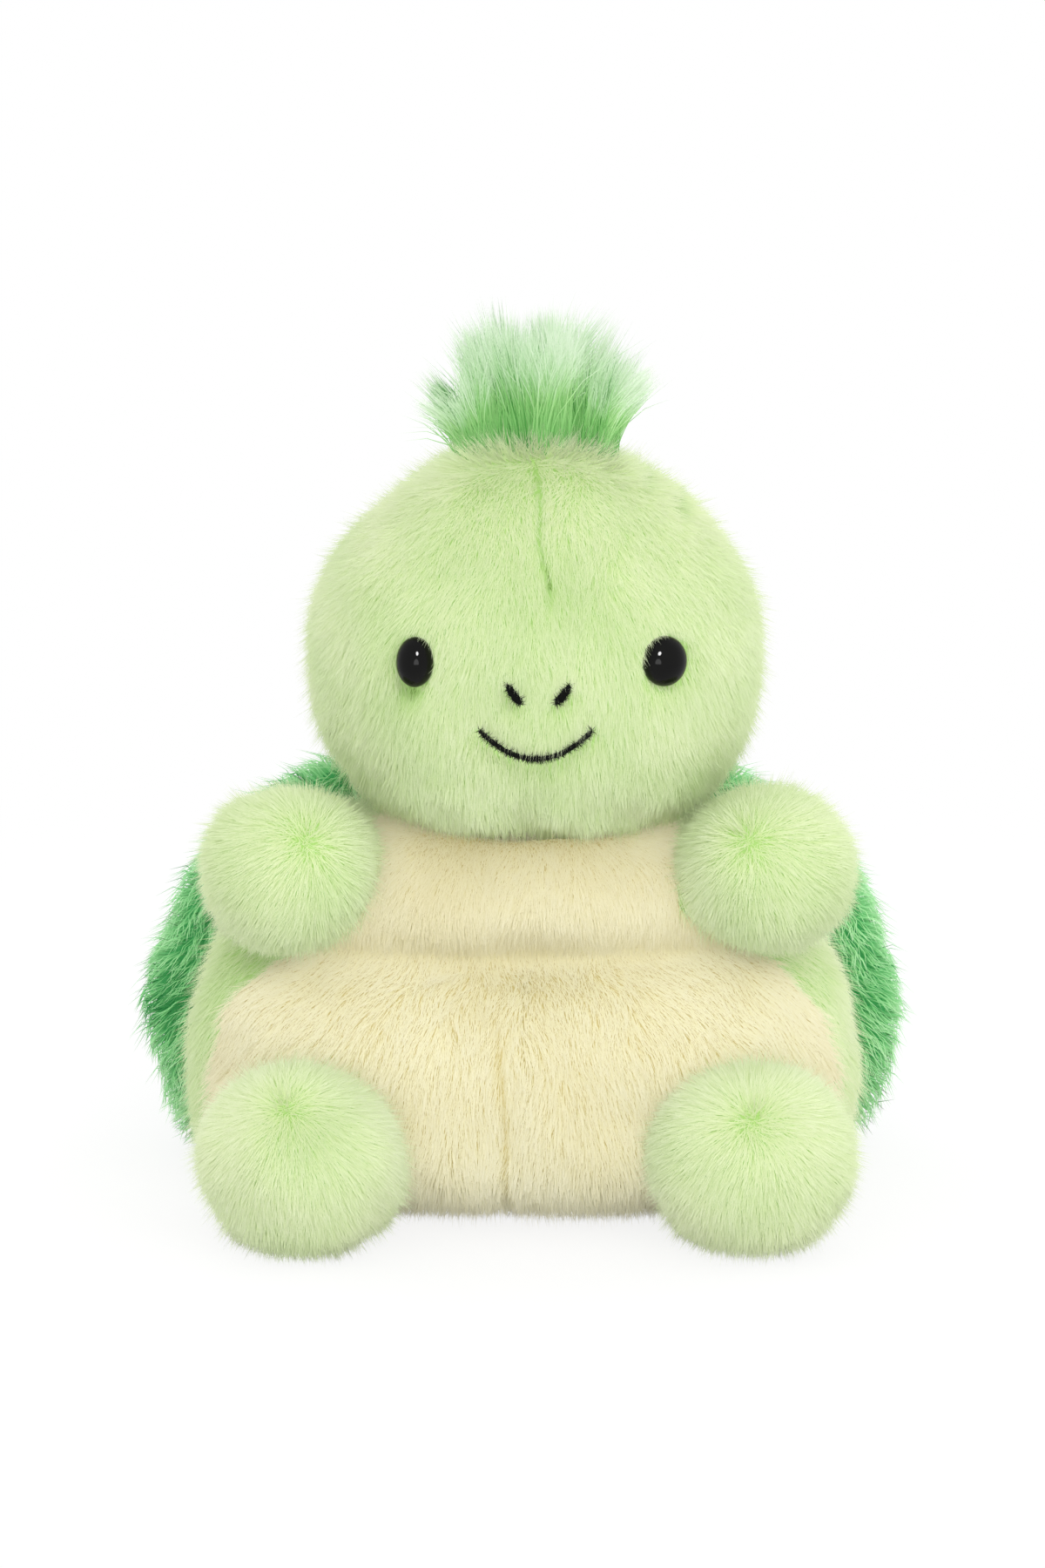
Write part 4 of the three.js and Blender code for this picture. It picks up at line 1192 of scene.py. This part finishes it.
def limb_points(limb, side, inset):
    """A stub as a grid of rings along the line from its root to its ball's centre, closed at its tip. Rings
    follow a table of places along and shares of the half sizes, and a foot spreads a little where it
    stands."""
    levels, columns = LIMB_GRID
    centre, root = limb_place(limb, "centre", side), limb_place(limb, "root", side)
    length = np.linalg.norm(centre - root)
    rows = between(LIMB_SHARES, np.linspace(0, len(LIMB_SHARES) - 1, levels))
    along = np.where(rows[:, 0] < 0, rows[:, 0] * length, rows[:, 0] * (limb["tip"] * MM - inset))
    wide = np.maximum(rows[:, 1], 0) * (limb["wide"] * MM - inset)
    tall = np.maximum(rows[:, 1], 0) * (limb["tall"] * MM - inset)
    zero = np.zeros_like(along)
    rings = capped(np.stack([zero, zero, along, wide, tall, tall], axis=1), 6, 1)
    local = ring_grid(rings, 2.0, np.linspace(0, 2 * math.pi, columns))
    forward = unit(centre - root)
    right = unit(np.cross(forward, (0, 0, 1)))
    points = local @ np.stack([right, np.cross(forward, right), forward]) + centre
    spread = limb["spread"] * np.clip(1 - points[..., 2] / (9 * MM), 0, 1)[..., None] ** 2
    points[..., :2] += (points - centre)[..., :2] * spread
    lumps = 0.3 * MM * ripple(points, 12 * MM, 7 + int(side))
    return points + normals_of(points) * lumps[..., None]


def make_limbs():
    """The skins of the arms and the legs, from where they leave the torso to their tips; returns what their fur
    needs."""
    made = {}
    for kind, limb in LIMBS.items():
        for label, side in SIDES:
            outer = emerging(limb_points(limb, side, PILE_DEPTH), PILE_DEPTH - 0.2 * MM)
            inner = emerging(limb_points(limb, side, PILE_DEPTH + BACKING), PILE_DEPTH - 0.2 * MM)
            body = ("torso", f"{kind}_{label}", *limb_span(limb, side))
            piece = walled(f"{kind}_{label}_plush", outer, inner)
            carry(piece, body, PALE_BACKING, [f"{kind}_{label}_skin"])
            made[kind, label] = ((outer, normals_of(outer)), body, limb_place(limb, "centre", side), limb, side)
    return made


def limb_span(limb, side):
    """Two points on a stub's line from its root to its ball's centre: one a third of the way along, one just
    short of the centre."""
    centre, root = limb_place(limb, "centre", side), limb_place(limb, "root", side)
    return tuple(root + (centre - root) * 0.35), tuple(root + (centre - root) * 0.8)


def limb_tint(centre, start, tint):
    """Fur is painted paler around the place that it flows from, painted light that softens the painted shade of
    the roots that show there.
    """
    towards = unit(start - centre)

    def tint_at(points):
        # Painted light near the flow's source
        near = np.clip((unit(points - centre) @ towards - 0.8) / 0.2, 0, 1)
        return tint + 0.32 * near ** 2

    return tint_at


def fur_limbs(made):
    """Fur on the stubs, away from the place on each where it parts, and down."""
    for number, ((kind, label), (skin, body, centre, limb, side)) in enumerate(made.items()):
        across, forth, up = limb["parting"][label]
        start = centre + np.array([side * across, forth, up]) * MM
        flow = mixed_flow((1.0, away_from(start)), (0.25, (0, 0, -1)))
        pile_patch(f"{kind}_{label}_pile", body, skin, (None,), (None,), HAIRS[kind], 31 + number, flow, PLUSH,
                   PALE_PILE, "pale_green_plush", tint=limb_tint(centre, start, limb["tint"]))


def shell_points(inset):
    """The shell as a grid of level rings that follow a table of height and size shares, moved clear of the
    torso and of the head's seat."""
    levels, columns = SHELL_GRID
    rows = between(SHELL_SHARES, np.linspace(0, len(SHELL_SHARES) - 1, levels))
    height = SHELL_LIFT + inset * 0.5 + rows[:, 0] * (SHELL_HEIGHT - 1.5 * inset)
    half = np.array([SHELL_HALF_WIDTH, SHELL_RIM_ROLL + 0.5 * inset, SHELL_DEPTH]) - inset
    one = np.ones_like(height)
    rings = np.stack([0 * one, SHELL_RIM_Y * one, height, *(np.maximum(rows[:, 1:], 0) * half).T], axis=1)
    points = ring_grid(capped(rings, 6, 6), SHELL_POWER, np.linspace(-0.5 * math.pi, 1.5 * math.pi, columns))
    shrink = 1.4 * MM * np.clip((points[..., 2] - 0.6 * SHELL_HEIGHT) / (0.3 * SHELL_HEIGHT), 0, 1)
    points = points + normals_of(points) * (0.5 * MM * ripple(points, 18 * MM, 9) - shrink)[..., None]
    cleared, _ = clear_of_torso(points, -CLEARANCE - inset * 0.2)
    return clear_of_head(cleared, inset * 0.3)


def make_shell():
    """The shell's fur cloth, and its lining in the columns that face the torso; returns the outer grid and its
    normals."""
    outer, inner = (shell_points(SHELL_PILE_DEPTH + depth) for depth in (0, BACKING))
    edge, last = SHELL_LINING_COLUMNS, outer.shape[1]
    carry(walled("shell_plush", outer[:, edge:last - edge], inner[:, edge:last - edge]), "torso",
          SHELL_BACKING, ["shell_cover"])
    front = [np.concatenate([grid[:, last - edge - 1:], grid[:, 1:edge + 1]], axis=1)
             for grid in (outer, inner)]
    carry(walled("shell_lining_cloth", *front), "torso", LINING, ["shell_lining"])
    return outer, normals_of(outer)


def out_to_rim(points):
    """Sideways directions that grow with the square of the place across."""
    x = points[:, 0]
    return np.stack([np.sign(x) * np.abs(x / SHELL_HALF_WIDTH) ** 2, 0 * x, 0 * x], axis=1)


def clear_shell(points):
    """Where the shell's fur has room: neither against the torso nor under the head."""
    return ~clear_of_torso(points, -1.2 * MM)[1] & (head_gauge(points, HEAD_HALF + SEAT_ROOM) > 1.005)


def fur_shell(*skin):
    """Shaggy fur on the shell's two halves, down and out to the rim."""
    flow = mixed_flow((1.0, (0, 0, -1)), (0.9, out_to_rim), (0.15, (0, 1, 0)))
    middle = skin[0].shape[1] // 2
    for side, columns in (("right", (0, middle + 1)), ("left", (middle, None))):
        pile_patch("shell_pile_" + side, "torso", skin, (None,), columns, HAIRS["shell"], 41, flow, SHELL_FUR,
                   SHELL_PILE, "shell_plush", clear_shell, tint=0.5, tint_spread=0.36)


def make_tuft():
    """Long pile from a narrow strip on the crown, in wisps. A wisp's lean grows with a power of its place
    along the strip, and its length falls off with a power of its own to the left and to the right; its hairs
    draw together towards its tip, except for a few free ones."""
    rng = np.random.default_rng([SEED, 51])
    count = HAIRS["tuft"]
    place = np.linspace(-1, 1, TUFT_WISPS) + rng.normal(0, 0.03, TUFT_WISPS)
    depth = rng.uniform(-1, 1, TUFT_WISPS)
    lean_of = rng.normal(0, 7, TUFT_WISPS)
    long_of = rng.uniform(0.8, 1.04, TUFT_WISPS)
    tint_of = rng.uniform(-0.34, 0.3, TUFT_WISPS) + 0.1 * place
    curl_of = rng.normal(0, 9, TUFT_WISPS)
    wisp = rng.integers(0, TUFT_WISPS, count)
    free = rng.random(count) < TUFT_FREE_SHARE
    along = np.clip(place[wisp], -1.02, 1.02)
    deep = depth[wisp]
    aside, behind = rng.normal(0, 1, (2, count)) * [[TUFT_WISP_WIDTH], [TUFT_WISP_DEPTH]]
    x = HEAD_CENTRE[0] + TUFT_SHIFT + along * TUFT_HALF_WIDTH + aside
    y = deep * TUFT_HALF_DEPTH * np.sqrt(1.15 - np.minimum(along ** 2, 1)) + behind - TUFT_SETBACK
    half = HEAD_HALF - PILE_DEPTH
    plan = ((x - HEAD_CENTRE[0]) / half[0]) ** 2 + (y / half[1]) ** 2
    roots = np.stack([x, y, HEAD_CENTRE[2] + half[2] * np.sqrt(1 - plan) - TUFT_SINK], axis=1)
    most = np.where(along < 0, *TUFT_LEANS) * np.sign(along) * np.abs(along) ** TUFT_LEAN_POWER
    shorter = np.where(along < 0, *TUFT_SHORTER) * np.abs(along) ** np.where(along < 0, *TUFT_SHORTER_POWERS)
    t = np.arange(1, TUFT_STATIONS) / (TUFT_STATIONS - 1)
    lean = (most + lean_of[wisp])[:, None] * (0.55 + 0.75 * t) + curl_of[wisp][:, None] * t ** 2
    lean = np.radians(lean + rng.normal(0, 4, (count, 1)) + (free * rng.normal(0, 14, count))[:, None] * t)
    tilt = np.radians((17 * deep + rng.normal(0, 4, count))[:, None] * (0.4 + 0.8 * t) - 3)
    way = unit(np.stack([np.sin(lean), np.sin(tilt), np.cos(lean)], axis=2))
    length = TUFT_LENGTH * (1 - shorter) * long_of[wisp] * rng.uniform(0.72, 1.0, count)
    line = np.cumsum(way * (length / (TUFT_STATIONS - 1))[:, None, None], axis=1)
    gather = np.where(free, 0.2, 0.9)[:, None] * t ** 1.2
    line[..., 0] -= aside[:, None] * gather
    line[..., 1] -= behind[:, None] * gather
    line = np.concatenate([np.zeros((count, 1, 3)), line], axis=1) + roots[:, None]
    facing = unit(np.stack([0.5 * np.sin(np.radians(most)), 0.5 * deep - 0.4, 0.8 + 0 * deep], axis=1))
    tint = np.clip(0.45 + tint_of[wisp] + rng.normal(0, 0.16, count), 0, 1)
    piece = strands("tuft_pile", line, TUFT_HAIR_RADIUS * rng.uniform(0.7, 1.15, count), tint, facing, 0.5)
    carry(piece, "head", TUFT_PILE, ["tuft"])


def lathe(profile, columns):
    """A closed body turned about its own upright axis from pairs of radius and height."""
    angle = np.linspace(0, 2 * math.pi, columns + 1)
    radius, height = np.array(profile, float).T
    radius, height = radius[:, None], height[:, None]
    return np.stack([radius * np.cos(angle), radius * np.sin(angle), height + 0 * angle], axis=2)


def make_eyes():
    """Oval black domes on shanks: a quarter ellipse over a short rim, turned, then set on the face."""
    bend = np.linspace(0, math.pi / 2, 18)
    shank = EYE_SHANK_RADIUS / EYE_HALF_WIDTH
    profile = [(0, -EYE_SHANK_LENGTH), (shank, -EYE_SHANK_LENGTH), (shank, -EYE_RIM), (0.9, -EYE_RIM),
               (1, -EYE_RIM / 2), *zip(np.cos(bend), EYE_DOME * np.sin(bend))]
    profile[-1] = (0, EYE_DOME)
    for label, side in SIDES:
        share = LEFT_EYE_SHARE if label == "left" else 1.0
        local = lathe(profile, 48) * [EYE_HALF_WIDTH * share, EYE_HALF_HEIGHT, 1]
        place, normal = on_face(side * EYE_SPACING / 2 + EYE_SHIFT, EYE_RISE, -EYE_SINK)
        right = unit(np.cross(normal, (0, 0, -1.0)))
        axes = np.stack([right, np.cross(normal, right), normal])
        carry(closed(f"eye_{label}_dome", local @ axes + place), "head", EYE_PLASTIC,
              [f"eye_{label}"])


def thread(centre, out, radius, columns, lay):
    """Two-ply thread along a line: a tube whose radius is that of each place, times one plus a little of the
    cosine of twice the angle round it less a full turn for each lay's length."""
    run = unit(np.gradient(centre, axis=0))
    side = unit(np.cross(run, out))
    rise = np.cross(side, run)
    angle = np.linspace(0, 2 * math.pi, columns + 1)
    travel = np.concatenate([[0], np.cumsum(np.linalg.norm(np.diff(centre, axis=0), axis=1))])
    swell = 1 + 0.16 * np.cos(2 * angle - travel[:, None] * (2 * math.pi / lay))
    size = radius[:, None] * swell
    ring = np.cos(angle)[:, None] * side[:, None] - np.sin(angle)[:, None] * rise[:, None]
    return centre[:, None] + ring * size[..., None]


def make_embroidery():
    """Mouth and nostrils in black thread, with the fine fuzz that shows along the photographed stitches."""
    place = np.linspace(-1, 1, 160)
    across = place * MOUTH_HALF_WIDTH
    centre, out = on_face(across, mouth_rise(across), -MOUTH_SINK)
    ends = np.clip((1 - np.abs(place)) * 14, 0, 1) ** 0.5
    grid = thread(centre, out, THREAD_RADIUS * ends, 12, MOUTH_LAY)
    carry(closed("mouth_thread", grid), "head", THREAD, ["mouth"])
    fuzz("mouth_fuzz", centre, out, THREAD_RADIUS, HAIRS["mouth_fuzz"], 61)
    long = np.linspace(-1, 1, 24)
    for label, side in SIDES:
        grids, middles, outs = [], [], []
        c, s = math.cos(side * NOSTRIL_TURN), math.sin(side * NOSTRIL_TURN)
        for stitch in np.linspace(-1, 1, NOSTRIL_STITCHES):
            reach = long * NOSTRIL_HALF_LENGTH * math.sqrt(1 - 0.55 * stitch ** 2)
            wide = stitch * NOSTRIL_HALF_WIDTH
            across = NOSTRIL_SHIFT + side * NOSTRIL_SPACING / 2 + wide * c + reach * s
            middle, normal = on_face(across, -NOSTRIL_DROP + reach * c - wide * s, -STITCH_SINK)
            middle = middle - normal * (0.5 * MM * np.abs(long) ** 4)[:, None]
            radius = STITCH_RADIUS * np.clip((1 - np.abs(long)) * 8, 0, 1) ** 0.5
            grids.append(thread(middle, normal, radius, 8, STITCH_LAY))
            middles.append(middle)
            outs.append(normal)
        carry(joined(f"nostril_{label}_thread", grids), "head", THREAD, [f"nostril_{label}"])
        fuzz(f"nostril_{label}_fuzz", np.concatenate(middles), np.concatenate(outs), STITCH_RADIUS,
             HAIRS["nostril_fuzz"], 62 + side)


def fuzz(name, centre, out, radius, count, seed):
    """Short loose fibres that stand off a thread in all directions on its outer side."""
    rng = np.random.default_rng([SEED, seed])
    at = rng.integers(0, len(centre), count)
    way = unit(rng.normal(size=(count, 3)) + out[at] * 0.9)
    roots = centre[at] + way * radius * 0.6
    length = rng.uniform(*FUZZ_LENGTHS, count) * MM
    line = roots[:, None] + way[:, None] * (length[:, None] * np.linspace(0, 1, 3))[..., None]
    piece = strands(name, line, np.full(count, FUZZ_RADIUS), rng.random(count), out[at], 0.2)
    carry(piece, "head", THREAD)


def joined(name, grids):
    """Several closed bodies in one mesh, each from its own grid."""
    vertices, faces, uv, first = [], [], [], 0
    for i, grid in enumerate(grids):
        rows, columns = grid.shape[:2]
        vertices.append(grid.reshape(-1, 3))
        faces.append(grid_faces(rows, columns, first))
        uv.append(grid_uv(rows, columns, (i + 0.05) / len(grids), (i + 0.95) / len(grids)))
        first += rows * columns
    return merged(mesh_of(name, np.vstack(vertices), np.vstack(faces), np.vstack(uv)))


def limb_core(limb, side, inset):
    """A limb's stuffing as a closed grid: the limb's rings, with its first ring drawn in to its middle."""
    points = emerging(limb_points(limb, side, inset), PILE_DEPTH - CLEARANCE)
    return np.concatenate([0 * points[:1] + points[0, :-1].mean(axis=0), points])


def lumpy(points, seed):
    """A grid drawn in by soft lumps, up to a millimetre deep."""
    return points - normals_of(points) * (0.5 * MM * (1 + ripple(points, 7 * MM, seed)))[..., None]


def make_fillings():
    """Stuffing inside the skins: each a soft body drawn in from its skin by the backing and a clearance, made
    of every second column of its grid."""
    torso = clear_of_head(torso_points(STUFFING_DEPTH, SEAT_PILE_DEPTH + BACKING + CLEARANCE), 1.5 * MM)
    bodies = [("torso", "torso", lumpy(torso, 71)),
              ("head", "head", lumpy(head_points(STUFFING_DEPTH + 1 * MM), 72)),
              ("shell", "torso", shell_points(SHELL_PILE_DEPTH + BACKING + CLEARANCE + 0.8 * MM))]
    bodies += [(f"{kind}_{label}", f"{kind}_{label}", limb_core(limb, side, STUFFING_DEPTH))
               for kind, limb in LIMBS.items() for label, side in SIDES]
    for name, body, points in bodies:
        carry(closed(name + "_stuffing", points[:, ::2]), body, STUFFING, [name + "_filling"])


def boxed_rings(node, shares, power, shrink=0.0):
    """A closed lumpy body that fills a node's box: level rings whose sizes follow a table of height and width
    shares."""
    low, high = (np.array(corner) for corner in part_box(node))
    middle, half = (low + high) / 2, (high - low) / 2 - shrink
    rows = fine_rows(shares, 4)
    rise = middle[2] + (2 * np.clip(rows[:, 0], 0, 1) - 1) * half[2]
    wide, deep = rows[:, 1] * half[0], rows[:, 1] * half[1]
    flat = 0 * rise
    rings = capped(np.stack([middle[0] + flat, middle[1] + flat, rise, wide, deep, deep], axis=1), 4, 4)
    points = ring_grid(rings, power, np.linspace(0, 2 * math.pi, 49))
    return points + normals_of(points) * (0.3 * MM * (ripple(points, 8 * MM, 73) - 1))[..., None]


def make_insides():
    """Pouch of pellets in the seat, the plug of stuffing in the neck, and the washers behind the eyes."""
    pouch = [boxed_rings("bean_pouch", POUCH_SHARES, POUCH_POWER, shrink) for shrink in (0.0, POUCH_CLOTH)]
    carry(walled("pouch_bag", *pouch), "torso", POUCH, ["bean_pouch"])
    neck = boxed_rings("neck_filling", NECK_SHARES, 2.0)
    carry(closed("neck_stuffing", neck), "neck", STUFFING, ["neck_filling"])
    rng = np.random.default_rng([SEED, 75])
    low, high = (np.array(corner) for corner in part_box("bean_fill"))
    middle, half = (low + high) / 2, (high - low) / 2 - PELLET_RADIUS * 1.2
    way = unit(rng.normal(size=(PELLETS, 3)))
    spots = middle + way * half * (rng.random((PELLETS, 1)) ** 0.4) * [0.9, 0.9, 0.85]
    bend = np.linspace(-math.pi / 2, math.pi / 2, 6)
    grain = lathe([*zip(np.cos(bend), np.sin(bend))], 8) * PELLET_RADIUS * [1, 1, 0.8]
    carry(joined("pellets", [grain @ turned(rng) + spot for spot in spots]), "torso", PELLET,
          ["bean_fill"])
    for label, _ in SIDES:
        for slot in bpy.data.objects["eye_washer_" + label].material_slots:
            slot.material = WASHER


def turned(rng):
    """Three axes at right angles in a random direction."""
    first = unit(rng.normal(size=3))
    second = unit(np.cross(first, rng.normal(size=3)))
    return np.stack([first, second, np.cross(first, second)])


def flat(name, corners, finish):
    """An object of one face, with its finish."""
    mesh = bpy.data.meshes.new(name)
    mesh.from_pydata(corners, [], [tuple(range(len(corners)))])
    mesh.materials.append(finish.material)
    return linked(name, mesh)


def make_floor():
    """A pale floor that keeps the toy's shadow and clears to white away from it, where it is seen."""
    white = Finish("floor_white", Base_Color=(0.9, 0.9, 0.9, 1), Roughness=0.9, Specular_IOR_Level=0.0)
    seen = white.any_ray("Is Camera Ray", "Is Glossy Ray", "Is Transmission Ray")
    place = white.node("ShaderNodeTexCoord", {}, out=3)
    away = white.node("ShaderNodeVectorMath", {"operation": "LENGTH"}, place, out=1)
    clear = white.node("ShaderNodeMapRange", {"interpolation_type": "SMOOTHSTEP"}, away, *SHADE_EDGES,
                       SHADE_CLEAR, 1.0)
    glow = white.node("ShaderNodeEmission", {}, WHITE, 1.0)
    white.show(white.node("ShaderNodeMixShader", {}, seen * clear, Wire(white, white.shader.outputs[0]), glow))
    half = FLOOR_HALF
    floor = flat("floor", [(-half, -half, 0), (half, -half, 0), (half, half, 0), (-half, half, 0)], white)


def make_card():
    """A round card of light that only glossy things show, which gives the eyes their highlight."""
    bend = np.linspace(0, 2 * math.pi, 33)[:-1]
    toward = np.array(Vector(AIM_POINT) - Vector(CARD_PLACE))
    aside = unit(np.cross(toward, (0, 0, 1.0)))
    above = unit(np.cross(aside, toward))
    ring = np.array(CARD_PLACE) + (np.cos(bend)[:, None] * aside + np.sin(bend)[:, None] * above) * CARD_RADIUS
    soft = Finish("card_white")
    soft.show(soft.node("ShaderNodeEmission", {}, WHITE, CARD_STRENGTH))
    card = flat("card", ring.tolist(), soft)
    for kind in ("camera", "shadow", "diffuse", "transmission"):
        setattr(card, "visible_" + kind, False)


def make_surround():
    """A surround that is white where it is seen and a little dimmer as a light."""
    world = bpy.data.worlds.new("surround")
    world.use_nodes = True
    nodes = Nodes(world.node_tree)
    seen = nodes.any_ray("Is Camera Ray", "Is Glossy Ray")
    background = nodes.tree.nodes["Background"].inputs
    nodes.put(background["Color"], WHITE)
    nodes.put(background["Strength"], nodes.node("ShaderNodeMapRange", {}, Value=seen, To_Min=SKY, To_Max=1.0))
    bpy.context.scene.world = world


def look(thing, place, aim):
    """Puts a lamp or a camera at a place, turned to another place."""
    thing.location = place
    thing.rotation_euler = (Vector(aim) - Vector(place)).to_track_quat("-Z", "Y").to_euler()


def make_lamps():
    """Soft round lamps that look at the toy."""
    for name, place, size, power, shines in LAMPS:
        light = bpy.data.lights.new(name, "AREA")
        light.shape = "DISK"
        light.size = size
        light.energy = power
        lamp = linked(name, light)
        lamp.visible_glossy = shines
        look(lamp, place, AIM_POINT)


def make_camera():
    """The camera, straight in front and a little above, and plain colours for its picture."""
    scene = bpy.context.scene
    data = bpy.data.cameras.new("camera")
    data.sensor_width = SENSOR_WIDTH
    data.lens = CAMERA_LENS
    rise = math.radians(CAMERA_ELEVATION)
    aim = Vector((0, 0, CAMERA_AIM))
    scene.camera = linked("camera", data)
    look(scene.camera, aim + Vector((0, -math.cos(rise), math.sin(rise))) * CAMERA_DISTANCE, aim)
    scene.view_settings.view_transform = "Standard"


fur_torso(*make_torso())
fur_head(*make_head())
fur_limbs(make_limbs())
fur_shell(*make_shell())
make_tuft()
make_eyes()
make_embroidery()
make_fillings()
make_insides()
make_floor()
make_card()
make_surround()
make_lamps()
make_camera()
